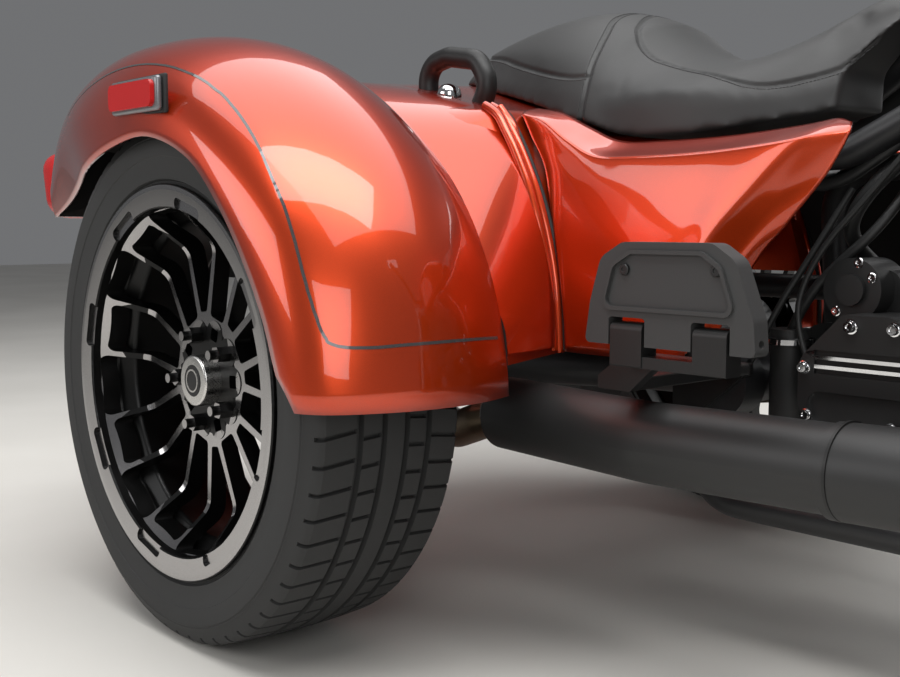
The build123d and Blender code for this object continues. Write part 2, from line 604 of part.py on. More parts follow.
def air_cleaner():
    """Round air cleaner on the right with its intake to both cylinders."""
    body = Pos(CRANK_X, -150, CRANK_Z + 245) * Rot(90, 0, 0) * Cylinder(92, 70)
    neck = rod((CRANK_X, -10, CRANK_Z + 230), (CRANK_X, -130, CRANK_Z + 240), 56)
    return fillet(body.edges().filter_by(GeomType.CIRCLE), 14) + neck


def cam_cover():
    """Cover over the cam drive on the right of the crankcase."""
    rows = [(CRANK_X - 92, 255, 40), (CRANK_X - 92, 410, 40), (CRANK_X + 60, 410, 60),
            (CRANK_X + 110, 330, 50), (CRANK_X + 80, 255, 40)]
    part = slab(rows, -150, -106)
    return part


def primary_cover():
    """Long cover on the left over the primary drive and clutch."""
    rows = [(560, 240, 90), (560, 420, 90), (CRANK_X + 40, 430, 90), (CRANK_X + 130, 330, 60), (CRANK_X + 60, 240, 90)]
    part = slab(rows, 106, 190)
    return part


EXHAUST_PATH = [(950, -215, 305), (845, -318, 287), (490, -330, 281), (250, -318, 284)]
SHIELD_JOINT = 715


def exhaust_right():
    """Right exhaust with its heat shield, stepped where the front shield laps the rear one."""
    main = pipe(EXHAUST_PATH, [60, 200], 90)
    lap = pipe([(SHIELD_JOINT, -322.4, 284), (845, -318, 287), (915, -249, 299)], 60, 96)
    elbow = pipe([(262, -318, 284), (200, -316, 268), (140, -306, 247), (60, -250, 240)], 40, 48)
    header = pipe([(1010, -60, 560), (1050, -150, 540), (1056, -200, 420), (1050, -206, 322), (930, -232, 302)],
                  40, 44)
    return main + lap + elbow + header


def exhaust_left():
    """Left exhaust, fed by a pipe that crosses ahead of the gearbox."""
    main = rod((700, 330, 262), (250, 322, 262), 92)
    elbow = pipe([(262, 322, 262), (180, 318, 250), (60, 300, 240)], 40, 48)
    return main + elbow


def fuel_tank():
    """Teardrop fuel tank with its filler cap."""
    block = slab([(692, 735, 6), (692, 812, 10), (800, 880, 120), (950, 908, 200), (1120, 900, 160),
                  (1240, 850, 70), (1262, 780, 30), (1240, 748, 20)], -170, 170)
    plan = plate([(692, -70, 10), (850, -135, 200), (1080, -165, 160), (1240, -110, 60), (1262, -60, 20),
                  (1262, 60, 20), (1240, 110, 60), (1080, 165, 160), (850, 135, 200), (692, 70, 10)], 600, 1000)
    tank = block & plan
    tunnel = slab([(680, 700, 0), (680, 768, 0), (1130, 768, 20), (1290, 820, 0), (1290, 700, 0)], -34, 34)
    tank = tank - tunnel
    cap = Pos(1050, -70, 880) * Cylinder(32, 40)
    return tank + cap


def fork():
    """Fork: two legs, triple clamps, steering stem and front axle."""
    y = FORK_SPREAD / 2
    part = rod(on_leg(0, y), on_leg(330, y), 62) + rod(on_leg(320, y), on_leg(650, y), 48)
    part = both(part)
    normal = Vector(cos(radians(RAKE)), 0, sin(radians(RAKE)))
    for z_axis, thick in ((HEAD_LOW_Z - 26, 30), (HEAD_HIGH_Z + 22, 26)):
        centre = Vector(*on_axis(z_axis))
        plane = Plane(origin=centre, x_dir=normal, z_dir=Vector(*AXIS))
        shape = make_face(FilletPolyline((-26, -36), (-26, 36), (30, y + 34), (86, y + 34), (86, -y - 34),
                                         (30, -y - 34), radius=18, close=True))
        part = part + extrude(plane * shape, amount=thick / 2, both=True)
    part = part + rod(on_axis(HEAD_LOW_Z - 20), on_axis(HEAD_HIGH_Z + 20), 30)
    axle = rod((WHEELBASE, -y - 20, FRONT_TYRE_R), (WHEELBASE, y + 20, FRONT_TYRE_R), AXLE_D)
    return part + axle


def handlebar():
    """Handlebar with risers, grips and mirrors."""
    top = on_leg(650, 0)
    x, z = top[0] - 10, top[2]
    bar = pipe([(x, 0, z + 50), (x, 130, z + 50), (x - 10, 210, z + 220), (x - 250, 400, z + 200)], 40, 28)
    riser = rod((x + 14, 50, z - 14), (x, 50, z + 50), 34)
    grip = rod((x - 150, 319, z + 208), (x - 250, 400, z + 200), 38)
    stem = rod((x - 120, 300, z + 212), (x - 90, 330, z + 300), 10)
    glass = Pos(x - 92, 330, z + 330) * Box(18, 140, 80)
    return both(bar) + both(riser) + both(grip) + both(stem) + both(glass)


def headlamp():
    """Round headlamp in its nacelle."""
    centre = on_leg(560, 0)
    shell = Pos(centre[0] + 80, 0, centre[2]) * Rot(0, 90, 0) * Cylinder(98, 110)
    return fillet(shell.edges().filter_by(GeomType.CIRCLE).sort_by(Axis.X)[:1], 50)


def front_fender():
    """Fender over the front wheel, held at the fork legs."""
    inner, half = FRONT_TYRE_R + 22, FRONT_TYRE_W / 2 + 16
    rows = [(-half, inner - 60, 0), (-half, inner + 4, 24), (half, inner + 4, 24), (half, inner - 60, 0),
            (half - 4, inner - 60, 0), (half - 4, inner, 20), (-half + 4, inner, 20), (-half + 4, inner - 60, 0)]
    ring = revolve(face_of(rows, Plane.YZ), Axis.Y, 140)
    ring = Rot(0, -92, 0) * ring
    return Pos(WHEELBASE, 0, FRONT_TYRE_R) * ring


def plate_bracket():
    """Bare number plate bracket under the tail with four holes."""
    part = wall([(-100, 470, 10), (-100, 570, 10), (100, 570, 10), (100, 470, 10)], TAIL_X, TAIL_X + 4)
    for y in (-PLATE_Y / 2, PLATE_Y / 2):
        for z in (-PLATE_Z / 2, PLATE_Z / 2):
            part = part - rod((TAIL_X - 5, y, 520 + z), (TAIL_X + 10, y, 520 + z), 6.5)
    for y in (-60, 60):
        part = part + rod((TAIL_X + 4, y, 520), (-620, y, 520), 24)
    return part


def grab_handle():
    """Passenger's grab handle on the body beside the seat, right side."""
    y = -HANDLE_Y
    path = [(14, y, 690), (14, y, 740), (60, y, 748), (118, y, 738), (140, y, 705), (100, y, 636)]
    return pipe(path, 30, HANDLE_D)


def marker_lamp():
    """Side marker lamp on the right fender."""
    y = -REAR_TRACK / 2 - FENDER_ROWS[3][2]
    return slab([(-60, 655, 8), (-60, 686, 8), (49, 686, 8), (49, 655, 8)], y - 12, y + 9)


def tail_lamp(full):
    """Tail lamp at the end of the right fender."""
    y = -REAR_TRACK / 2
    plan = plate([(FENDER_TAIL + 2, y - 130, 0), (FENDER_TAIL - 20, y - 96, 0), (FENDER_TAIL - 74, y - 30, 60),
                  (FENDER_TAIL - 82, y + 60, 20), (FENDER_TAIL - 82, y + 140, 0), (FENDER_TAIL + 2, y + 140, 0)],
                 FENDER_REAR_Z + 4, 700)
    return moved(full, 0, y, 0) & plan


def rider_board():
    """Rider's footboard, right side, level at rest."""
    y, z = -BOARD_HINGE_Y, BOARD_HINGE_Z
    first, last = BOARD_POSTS[0] - 35, BOARD_POSTS[1] + 74
    board = plate([(first, y + 12, 20), (first, y - 98, 30), (last, y - 84, 40), (last, y + 12, 20)],
                  z + 11, z + 26)
    for x in (BOARD_POSTS[0] + 16, BOARD_POSTS[1] - 16):
        ear = wall([(y - 10, z - 8, 6), (y - 10, z + 12, 0), (y + 10, z + 12, 0), (y + 10, z - 8, 6)],
                   x - 8, x + 8)
        board = board + ear
    return board - rod((first - 10, y, z), (last + 10, y, z), BOARD_PIN_D + 2 * SPIN_GAP)


def board_mount():
    """Bracket of the right rider's footboard: two posts with the hinge pin, beam and arm."""
    y, z = -BOARD_HINGE_Y, BOARD_HINGE_Z
    first, last = BOARD_POSTS
    low, high = 206, 218
    part = rod((first - 4, y, z), (last + 4, y, z), BOARD_PIN_D)
    for x in BOARD_POSTS:
        part = part + slab([(x - 6, high - 2, 0), (x - 6, z + 6, 5), (x + 6, z + 6, 5), (x + 6, high - 2, 0)],
                           y - 8, y + 8)
    beam = slab([(first - 6, low, 0), (first - 6, high, 0), (last + 6, high, 0), (last + 6, low, 0)],
                y - 8, y + 8)
    near, far = first + 56, last - 66
    arm = slab([(near, low, 0), (near, high, 0), (far, high, 0), (far, low, 0)], y, -RAIL_Y)
    foot = slab([(near, RAIL_Z, 0), (near, high, 0), (far, high, 0), (far, RAIL_Z, 0)],
                -RAIL_Y - 8, -RAIL_Y + 8)
    return part + beam + arm + foot


arch = fender_block(0)
fender_right = moved(fender(arch), 0, -REAR_TRACK / 2, 0)
block = body_block()
body = trunk_body(block)
tubes = frame()
case = engine_case()
legs = fork()
cylinder_f = cylinder(CYL_ANGLE) - case
cylinder_r = cylinder(-CYL_ANGLE) - case
cleaner = air_cleaner() - cylinder_f - cylinder_r
pipes_right = exhaust_right() - cylinder_f
wheel_left = rear_wheel()
seat_rear, seat_front = seat_parts()
seat_rear = biggest(seat_rear - block)
front_axle = (WHEELBASE, 0, FRONT_TYRE_R)
rear_right = (0, -REAR_TRACK / 2, REAR_TYRE_R)
rear_left = (0, REAR_TRACK / 2, REAR_TYRE_R)
lamp_right = biggest(marker_lamp() - fender_right)
tail_right = biggest(tail_lamp(arch) - fender_right)

NODES = {
    "frame": tubes,
    "rear_axle": axle_carrier(),
    "engine_case": case,
    "cylinder_front": cylinder_f,
    "cylinder_rear": cylinder_r,
    "air_cleaner": cleaner,
    "cam_cover": cam_cover(),
    "primary_cover": primary_cover(),
    "exhaust_right": pipes_right,
    "exhaust_left": exhaust_left(),
    "fuel_tank": fuel_tank(),
    "seat_passenger": seat_rear,
    "seat_rider": seat_front,
    "trunk_body": body,
    "trunk_lid": trunk_lid(block),
    "side_cover_right": side_cover() - body,
    "side_cover_left": other(side_cover() - body),
    "fender_right": fender_right,
    "fender_left": other(fender_right),
    "marker_lamp_right": lamp_right,
    "marker_lamp_left": other(lamp_right),
    "tail_lamp_right": tail_right,
    "tail_lamp_left": other(tail_right),
    "plate_bracket": plate_bracket() - block,
    "grab_handle_right": biggest(grab_handle() - body),
    "grab_handle_left": other(biggest(grab_handle() - body)),
    "passenger_bracket_right": board_bracket() - tubes,
    "passenger_bracket_left": other(board_bracket() - tubes),
    "passenger_board_right": footboard(),
    "passenger_board_left": other(footboard()),
    "rider_bracket_right": board_mount() - tubes,
    "rider_bracket_left": other(board_mount() - tubes),
    "rider_board_right": rider_board(),
    "rider_board_left": other(rider_board()),
    "fork": legs,
    "handlebar": handlebar() - legs,
    "headlamp": headlamp() - legs,
    "front_fender": front_fender() - legs,
    "tyre_front": tyre(front_axle, FRONT_TYRE_R, FRONT_BEAD_R, FRONT_TYRE_W, FRONT_RIM_HALF, FRONT_FLANGE_R),
    "wheel_front": moved(front_wheel(), *front_axle),
    "tyre_rear_right": tyre(rear_right, REAR_TYRE_R, REAR_BEAD_R, REAR_TYRE_W, REAR_RIM_HALF, REAR_FLANGE_R),
    "tyre_rear_left": tyre(rear_left, REAR_TYRE_R, REAR_BEAD_R, REAR_TYRE_W, REAR_RIM_HALF, REAR_FLANGE_R),
    "wheel_rear_right": moved(other(wheel_left), *rear_right),
    "wheel_rear_left": moved(wheel_left, *rear_left),
}

os.makedirs("parts", exist_ok=True)
for name, part in NODES.items():
    export_step(moved(part, -X_MID, 0, 0), f"parts/{name}.step")
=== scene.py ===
import json
from math import atan2, cos, pi, radians, sin

import bmesh
import bpy
from bpy.props import FloatProperty, FloatVectorProperty, PointerProperty
from mathutils import Matrix, Vector
from mathutils.bvhtree import BVHTree
from mathutils.kdtree import KDTree


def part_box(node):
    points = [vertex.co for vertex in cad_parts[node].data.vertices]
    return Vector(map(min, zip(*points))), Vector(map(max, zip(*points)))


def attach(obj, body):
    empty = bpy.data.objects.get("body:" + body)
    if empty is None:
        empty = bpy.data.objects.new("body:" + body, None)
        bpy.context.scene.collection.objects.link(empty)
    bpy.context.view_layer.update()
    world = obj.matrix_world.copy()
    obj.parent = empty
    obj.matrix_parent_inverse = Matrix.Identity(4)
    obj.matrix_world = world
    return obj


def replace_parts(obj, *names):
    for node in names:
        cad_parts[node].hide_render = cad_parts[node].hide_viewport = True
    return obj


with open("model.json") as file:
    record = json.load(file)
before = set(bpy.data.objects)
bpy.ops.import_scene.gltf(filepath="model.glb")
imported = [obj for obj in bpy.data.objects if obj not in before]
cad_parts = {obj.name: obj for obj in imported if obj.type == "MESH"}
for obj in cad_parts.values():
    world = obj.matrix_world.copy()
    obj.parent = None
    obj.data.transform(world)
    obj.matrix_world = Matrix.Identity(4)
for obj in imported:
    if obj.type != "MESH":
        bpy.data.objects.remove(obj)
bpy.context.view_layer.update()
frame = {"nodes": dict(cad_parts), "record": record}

bl_info = {
    "name": "Motorized Trike",
    "version": (1, 0, 0),
    "blender": (4, 5, 0),
    "location": "View3D > Sidebar > Trike",
    "description": "Dresses a packed motorized trike with its finishes, soft parts and small trim",
    "category": "Object",
}

# Places read from the frame: the rear axle and the wheel planes.
TYRE_LOW, TYRE_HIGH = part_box("tyre_rear_right")
AXLE_X = (TYRE_LOW[0] + TYRE_HIGH[0]) / 2
AXLE_Z = (TYRE_LOW[2] + TYRE_HIGH[2]) / 2
WHEEL_Y = -(TYRE_LOW[1] + TYRE_HIGH[1]) / 2


class PaintSettings(bpy.types.PropertyGroup):
    paint: FloatVectorProperty(
        name="Body paint", description="Colour of the painted body panels", subtype="COLOR",
        size=3, min=0.0, max=1.0, default=(0.56, 0.046, 0.003))
    paint_deep: FloatVectorProperty(
        name="Paint depth", description="Darker tone of the paint where it turns away", subtype="COLOR",
        size=3, min=0.0, max=1.0, default=(0.31, 0.008, 0.001))
    black: FloatVectorProperty(
        name="Gloss black", description="Colour of gloss black metal", subtype="COLOR",
        size=3, min=0.0, max=1.0, default=(0.008, 0.008, 0.009))
    vinyl: FloatVectorProperty(
        name="Seat cover", description="Colour of the seat's cover", subtype="COLOR",
        size=3, min=0.0, max=1.0, default=(0.014, 0.014, 0.015))
    lens: FloatVectorProperty(
        name="Red lens", description="Colour of tail and marker lamps", subtype="COLOR",
        size=3, min=0.0, max=1.0, default=(0.42, 0.006, 0.006))


class StageSettings(bpy.types.PropertyGroup):
    focal: FloatProperty(
        name="Focal length", description="Lens of the camera in millimetres", default=48.0, min=10.0)
    ahead: FloatProperty(
        name="Camera ahead", description="Camera's distance ahead of the rear axle",
        default=1.330, subtype="DISTANCE")
    aside: FloatProperty(
        name="Camera aside", description="Camera's distance to the right of the middle",
        default=1.347, subtype="DISTANCE")
    height: FloatProperty(
        name="Camera height", description="Camera's height above the floor",
        default=0.522, subtype="DISTANCE")
    yaw: FloatProperty(
        name="Camera yaw", description="Turn of the view from straight across towards the tail",
        default=radians(49.18), subtype="ANGLE")
    pitch: FloatProperty(
        name="Camera pitch", description="Downward tilt of the view",
        default=radians(5.54), subtype="ANGLE")


def new_material(name, values):
    """Node material with its Principled shader and the values of its unlinked inputs."""
    material = bpy.data.materials.new(name)
    material.use_nodes = True
    shader = material.node_tree.nodes["Principled BSDF"]
    for key, value in values.items():
        shader.inputs[key].default_value = value
    return material, material.node_tree, shader


def node(tree, kind, inputs=None, **settings):
    """Adds a shader node and sets its settings and unlinked inputs."""
    made = tree.nodes.new(kind)
    for key, value in settings.items():
        setattr(made, key, value)
    for key, value in (inputs or {}).items():
        made.inputs[key].default_value = value
    return made


def texture(tree, kind, output, inputs, **settings):
    """Output of a texture on the piece's own coordinates."""
    made = node(tree, kind, inputs, **settings)
    tree.links.new(node(tree, "ShaderNodeTexCoord").outputs["Object"], made.inputs["Vector"])
    return made.outputs[output]


def noise(tree, scale, detail=3.0):
    """Soft noise."""
    return texture(tree, "ShaderNodeTexNoise", "Fac", {"Scale": scale, "Detail": detail})


def wave(tree, scale, distortion=0.0, bands="X"):
    """Even bands."""
    return texture(tree, "ShaderNodeTexWave", "Fac", {"Scale": scale, "Distortion": distortion},
                   bands_direction=bands)


def ramp(tree, source, low, high, start=0.35, end=0.65):
    """Colour ramp between two tones."""
    made = node(tree, "ShaderNodeValToRGB")
    made.color_ramp.elements[0].position = start
    made.color_ramp.elements[1].position = end
    made.color_ramp.elements[0].color = (*low, 1.0)
    made.color_ramp.elements[1].color = (*high, 1.0)
    tree.links.new(source, made.inputs["Fac"])
    return made


def toned(tree, shader, source, low, high, start=0.35, end=0.65):
    """Base colour that runs between two tones."""
    tone = ramp(tree, source, low, high, start, end)
    tree.links.new(tone.outputs["Color"], shader.inputs["Base Color"])


def roughened(tree, shader, source, low, high):
    """Roughness that varies with a source between two values."""
    spread = node(tree, "ShaderNodeMapRange", {"To Min": low, "To Max": high})
    tree.links.new(source, spread.inputs["Value"])
    tree.links.new(spread.outputs["Result"], shader.inputs["Roughness"])


def bump(tree, shader, source, strength, distance):
    """Bump from a height output into the shader."""
    made = node(tree, "ShaderNodeBump", {"Strength": strength, "Distance": distance})
    tree.links.new(source, made.inputs["Height"])
    tree.links.new(made.outputs["Normal"], shader.inputs["Normal"])


def shaded(colour, factor):
    """The colour made lighter or darker."""
    return tuple(min(1.0, c * factor) for c in colour)


def candy_paint(settings):
    """Metallic paint under clear coat, with a fine flake and a darker tone at the edges."""
    material, tree, shader = new_material("candy_paint", {
        "Metallic": 0.72, "Roughness": 0.3, "Coat Weight": 1.0, "Coat Roughness": 0.03})
    tone = ramp(tree, noise(tree, 2600.0, 2.0), shaded(settings.paint, 0.82), shaded(settings.paint, 1.15),
                0.3, 0.7)
    facing = node(tree, "ShaderNodeLayerWeight", {"Blend": 0.35})
    mix = node(tree, "ShaderNodeMix", data_type="RGBA")
    mix.inputs[7].default_value = (*settings.paint_deep, 1.0)
    tree.links.new(facing.outputs["Facing"], mix.inputs[0])
    tree.links.new(tone.outputs["Color"], mix.inputs[6])
    tree.links.new(mix.outputs[2], shader.inputs["Base Color"])
    return material


def coated(name, colour, rough, grain_scale, grain_depth, metallic, coat):
    """Painted or moulded surface with a fine grain in its roughness and bump."""
    material, tree, shader = new_material(name, {"Metallic": metallic, "Coat Weight": coat})
    grain = noise(tree, grain_scale, 4.0)
    toned(tree, shader, grain, shaded(colour, 0.8), shaded(colour, 1.2))
    roughened(tree, shader, grain, rough * 0.85, rough * 1.15)
    if grain_depth:
        bump(tree, shader, grain, 1.0, grain_depth)
    return material


def ground_metal(name, colour, rough):
    """Bare or plated metal with a faint mottle."""
    material, tree, shader = new_material(name, {"Metallic": 1.0})
    mottle = noise(tree, 900.0)
    toned(tree, shader, mottle, shaded(colour, 0.85), colour)
    roughened(tree, shader, mottle, rough * 0.7, rough * 1.3)
    return material


def red_lens(settings):
    """Coloured lamp lens with fine ribs below a smooth face."""
    material, tree, shader = new_material("red_lens", {
        "Roughness": 0.08, "Coat Weight": 1.0, "Coat Roughness": 0.02})
    toned(tree, shader, wave(tree, 60.0), shaded(settings.lens, 0.7), settings.lens, 0.2, 0.8)
    return material


def seat_cover(settings):
    """Grained seat cover that turns into a woven one where the piece's attribute says so."""
    material, tree, shader = new_material("seat_cover", {"Sheen Weight": 0.15})
    cells = texture(tree, "ShaderNodeTexVoronoi", "Distance", {"Scale": 700.0}, feature="DISTANCE_TO_EDGE")
    weave = node(tree, "ShaderNodeMath", operation="MULTIPLY")
    for k, bands in enumerate("XY"):
        tree.links.new(wave(tree, 260.0, 0.4, bands), weave.inputs[k])
    woven = node(tree, "ShaderNodeAttribute", attribute_name="woven").outputs["Fac"]
    height = node(tree, "ShaderNodeMix", data_type="FLOAT")
    tree.links.new(woven, height.inputs[0])
    tree.links.new(cells, height.inputs[2])
    tree.links.new(weave.outputs["Value"], height.inputs[3])
    bump(tree, shader, height.outputs[0], 0.5, 0.0004)
    toned(tree, shader, noise(tree, 9.0, 4.0), shaded(settings.vinyl, 0.75), shaded(settings.vinyl, 1.35))
    roughened(tree, shader, woven, 0.34, 0.6)
    return material


def lamp_glass(settings):
    """Clear headlamp lens over a bright bowl, ribbed upright."""
    material, tree, shader = new_material("lamp_glass", {
        "Metallic": 0.6, "Roughness": 0.08, "Coat Weight": 1.0})
    flutes = wave(tree, 40.0, bands="Y")
    toned(tree, shader, flutes, (0.35, 0.36, 0.37), (0.72, 0.73, 0.74), 0.2, 0.8)
    bump(tree, shader, flutes, 0.4, 0.0006)
    return material


# Painted and moulded finishes: colour, roughness, grain scale, grain depth, metallic, coat.
# Gloss black takes its colour from the settings.
COATED = {
    "gloss_black": (None, 0.12, 900.0, 0.0, 0.0, 1.0),
    "satin_black": ((0.012, 0.012, 0.013), 0.42, 700.0, 0.0, 0.0, 0.0),
    "engine_black": ((0.016, 0.016, 0.017), 0.5, 1400.0, 0.00015, 0.0, 0.0),
    "exhaust_black": ((0.012, 0.012, 0.013), 0.3, 2200.0, 0.00004, 0.0, 0.0),
    "wheel_black": ((0.006, 0.006, 0.007), 0.1, 500.0, 0.0, 0.0, 1.0),
    "tyre_rubber": ((0.022, 0.022, 0.022), 0.6, 1500.0, 0.00006, 0.0, 0.0),
    "hose_rubber": ((0.012, 0.012, 0.012), 0.5, 1200.0, 0.00004, 0.0, 0.0),
    "board_plastic": ((0.019, 0.019, 0.02), 0.5, 3000.0, 0.00012, 0.0, 0.0),
    # This black also makes the thin strip of painted shade in the seam's gap between the beads and the side
    # cover.
    "black_liner_and_gap_shade": ((0.01, 0.01, 0.01), 0.7, 900.0, 0.0001, 0.0, 0.0),
    "bezel_grey": ((0.2, 0.2, 0.21), 0.3, 900.0, 0.0, 0.6, 0.0),
    "stripe_grey": ((0.045, 0.04, 0.04), 0.25, 900.0, 0.0, 0.0, 1.0),
    "thread": ((0.035, 0.035, 0.036), 0.6, 2000.0, 0.0, 0.0, 0.0),
}
# Metals: colour, roughness.
METALS = {
    "fork_alloy": ((0.45, 0.45, 0.46), 0.3),
    "machined": ((0.42, 0.41, 0.41), 0.2),
    "bare_metal": ((0.62, 0.61, 0.59), 0.28),
    "chrome": ((0.8, 0.8, 0.81), 0.08),
    "bronzed_steel": ((0.28, 0.21, 0.14), 0.32),
}
SPECIAL = {"candy_paint": candy_paint, "red_lens": red_lens, "seat_cover": seat_cover,
           "lamp_glass": lamp_glass}


def finish(name):
    """Named finish, made on its first use."""
    made = bpy.data.materials.get(name)
    if made:
        return made
    settings = bpy.context.scene.trike_paint
    if name in COATED:
        colour, *surface = COATED[name]
        return coated(name, colour or tuple(settings.black), *surface)
    if name in METALS:
        return ground_metal(name, *METALS[name])
    return SPECIAL[name](settings)


def pair(name):
    """Right and left node names."""
    return (name + "_right", name + "_left")


class TRIKE_OT_finishes(bpy.types.Operator):
    """Gives every CAD node its finish"""
    bl_idname = "trike.finishes"
    bl_label = "Finishes"

    WORN_BY = {
        "candy_paint": ("fuel_tank", "trunk_body", "trunk_lid", "front_fender", *pair("side_cover"),
                        *pair("fender")),
        "gloss_black": ("air_cleaner", "cam_cover", "primary_cover", "headlamp", "handlebar",
                        *pair("grab_handle"), *pair("passenger_bracket")),
        "satin_black": ("frame", "rear_axle", "plate_bracket", *pair("rider_bracket")),
        "engine_black": ("engine_case", "cylinder_front", "cylinder_rear"),
        "exhaust_black": pair("exhaust"),
        "wheel_black": ("wheel_front", "wheel_rear_right", "wheel_rear_left"),
        "fork_alloy": ("fork",),
        "tyre_rubber": ("tyre_front", "tyre_rear_right", "tyre_rear_left"),
        "seat_cover": ("seat_passenger", "seat_rider"),
        "board_plastic": (*pair("passenger_board"), *pair("rider_board")),
        "red_lens": (*pair("marker_lamp"), *pair("tail_lamp")),
    }

    def execute(self, context):
        for name, nodes in self.WORN_BY.items():
            for node_name in nodes:
                mesh = frame["nodes"][node_name].data
                mesh.materials.clear()
                mesh.materials.append(finish(name))
        return {"FINISHED"}


MM = 0.001
SIDES = ((-1, "right"), (1, "left"))
BODY_OF = {name: body for body, names in frame["record"]["behaviour"]["bodies"].items() for name in names}


def at(x, y, z):
    """Point from millimetres ahead of the rear axle, left of the middle and above the floor."""
    return Vector((AXLE_X + x * MM, y * MM, z * MM))


def turn_to(axis):
    """Matrix that turns +Z to a direction."""
    return Vector((0, 0, 1)).rotation_difference(Vector(axis)).to_matrix().to_4x4()


def meshed(name, bm, angle):
    """Mesh of a bmesh, shaded smooth up to an angle."""
    mesh = bpy.data.meshes.new(name)
    bm.to_mesh(mesh)
    bm.free()
    mesh.polygons.foreach_set("use_smooth", [True] * len(mesh.polygons))
    mesh.set_sharp_from_angle(angle=radians(angle))
    return mesh


def dress(name, data, material, node_name, slot):
    """Makes a mesh or curve a piece that rides with the body of a CAD node."""
    data.materials.append(finish(material))
    piece = bpy.data.objects.new(name, data)
    bpy.context.scene.collection.objects.link(piece)
    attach(piece, BODY_OF[node_name])
    return piece


def settle(name, bm, material, node_name, slot, angle=35.0):
    """Makes a bmesh a piece, with its normals outward."""
    bmesh.ops.remove_doubles(bm, verts=bm.verts, dist=1e-6)
    bmesh.ops.recalc_face_normals(bm, faces=bm.faces)
    return dress(name, meshed(name, bm, angle), material, node_name, slot)


def add_turned(bm, place, axis, rows, steps=48):
    """Adds a turned solid from rows of radius and height along an axis, in millimetres."""
    matrix = Matrix.Translation(place) @ turn_to(axis)
    verts = [bm.verts.new(matrix @ Vector((r * MM, 0.0, h * MM))) for r, h in rows]
    edges = [bm.edges.new(two) for two in zip(verts, verts[1:])]
    bmesh.ops.spin(bm, geom=verts + edges, cent=place, axis=Vector(axis).normalized(), angle=2 * pi,
                   steps=steps, use_merge=True)


def turned_piece(name, place, axis, rows, material, node_name, slot, steps=48):
    """Piece made of one turned solid."""
    bm = bmesh.new()
    add_turned(bm, place, axis, rows, steps)
    return settle(name, bm, material, node_name, slot)


def add_bolt(bm, place, axis, across, height):
    """Adds a cap bolt on a washer, with its socket."""
    r = across / 2
    rows = [(r * 1.25, 0), (r * 1.25, 1.0), (r, 1.2), (r, height - 1.5), (r * 0.86, height),
            (r * 0.5, height), (r * 0.46, height - 2.0), (0, height - 2.0)]
    add_turned(bm, place, axis, rows, 20)


def add_box(bm, low, high, bevel, segments=3):
    """Adds a bevelled block between two corners."""
    low, high = Vector(low), Vector(high)
    middle, size = (low + high) / 2, high - low
    matrix = Matrix.Translation(middle) @ Matrix.Diagonal((*size, 1.0))
    made = bmesh.ops.create_cube(bm, size=1.0, matrix=matrix)
    edges = list({edge for vert in made["verts"] for edge in vert.link_edges})
    bmesh.ops.bevel(bm, geom=edges, offset=bevel * MM, segments=segments, profile=0.5, affect="EDGES",
                    material=-1)


def node_mesh(name):
    """Merged copy of a CAD node's mesh."""
    bm = bmesh.new()
    bm.from_mesh(frame["nodes"][name].data)
    bmesh.ops.remove_doubles(bm, verts=bm.verts, dist=1e-5)
    bm.normal_update()
    return bm


def skin(name, node_name, chosen, material, slot, lift=0.25):
    """Thin finish over the chosen faces of a CAD node, just clear of its surface."""
    bm = node_mesh(node_name)
    spare = [face for face in bm.faces if not chosen(face.calc_center_median(), face.normal)]
    bmesh.ops.delete(bm, geom=spare, context="FACES")
    bm.normal_update()
    for vert in bm.verts:
        vert.co += vert.normal * lift * MM
    return dress(name, meshed(name, bm, 25), material, node_name, slot)


def hose(name, points, radius, material, node_name, slot):
    """Hose or cable along points in millimetres."""
    curve = bpy.data.curves.new(name, "CURVE")
    curve.dimensions = "3D"
    curve.bevel_depth = radius * MM
    curve.bevel_resolution = 3
    curve.resolution_u = 8
    curve.use_fill_caps = True
    spline = curve.splines.new("NURBS")
    spline.points.add(len(points) - 1)
    for point, place in zip(spline.points, points):
        point.co = (*at(*place), 1.0)
    spline.order_u = 3
    spline.use_endpoint_u = True
    return dress(name, curve, material, node_name, slot)


def smooth_line(points, rounds=3):
    """Rounds a line's corners by cutting them, keeping its ends."""
    line = [Vector(p) for p in points]
    for _ in range(rounds):
        cut = [line[0]]
        for a, b in zip(line, line[1:]):
            cut += [a.lerp(b, 0.25), a.lerp(b, 0.75)]
        line = cut + [line[-1]]
    return line


def spaced(line, step):
    """Points along a line at an even step."""
    made, left = [line[0]], step
    for a, b in zip(line, line[1:]):
        length = (b - a).length
        along = left
        while along <= length:
            made.append(a.lerp(b, along / length))
            along += step
        left = along - length
    return made


def through(points, per):
    """Smooth line through the given points, with a fixed number of steps in each gap."""
    ends = [2 * points[0] - points[1], *points, 2 * points[-1] - points[-2]]
    made = []
    for a, b, c, d in zip(ends, ends[1:], ends[2:], ends[3:]):
        for t in (k / per for k in range(per)):
            made.append(b + (c - a) * (t / 2) + (a - 2.5 * b + 2 * c - 0.5 * d) * t ** 2
                        + (1.5 * (b - c) + 0.5 * (d - a)) * t ** 3)
    return made + [points[-1]]


def resampled(points, count):
    """The same line cut into an even number of steps."""
    reach = [0.0]
    for a, b in zip(points, points[1:]):
        reach.append(reach[-1] + (b - a).length)
    made, k = [], 0
    for number in range(count + 1):
        along = reach[-1] * number / count
        while k < len(points) - 2 and reach[k + 1] < along:
            k += 1
        made.append(points[k].lerp(points[k + 1], (along - reach[k]) / max(reach[k + 1] - reach[k], 1e-9)))
    return made


def sheet(across, along, place):
    """Grid of faces with each corner where place(i, j) says."""
    bm = bmesh.new()
    bmesh.ops.create_grid(bm, x_segments=across, y_segments=along, size=1.0)
    for vert in bm.verts:
        vert.co = place(round((vert.co.x + 1) / 2 * across), round((vert.co.y + 1) / 2 * along))
    return bm


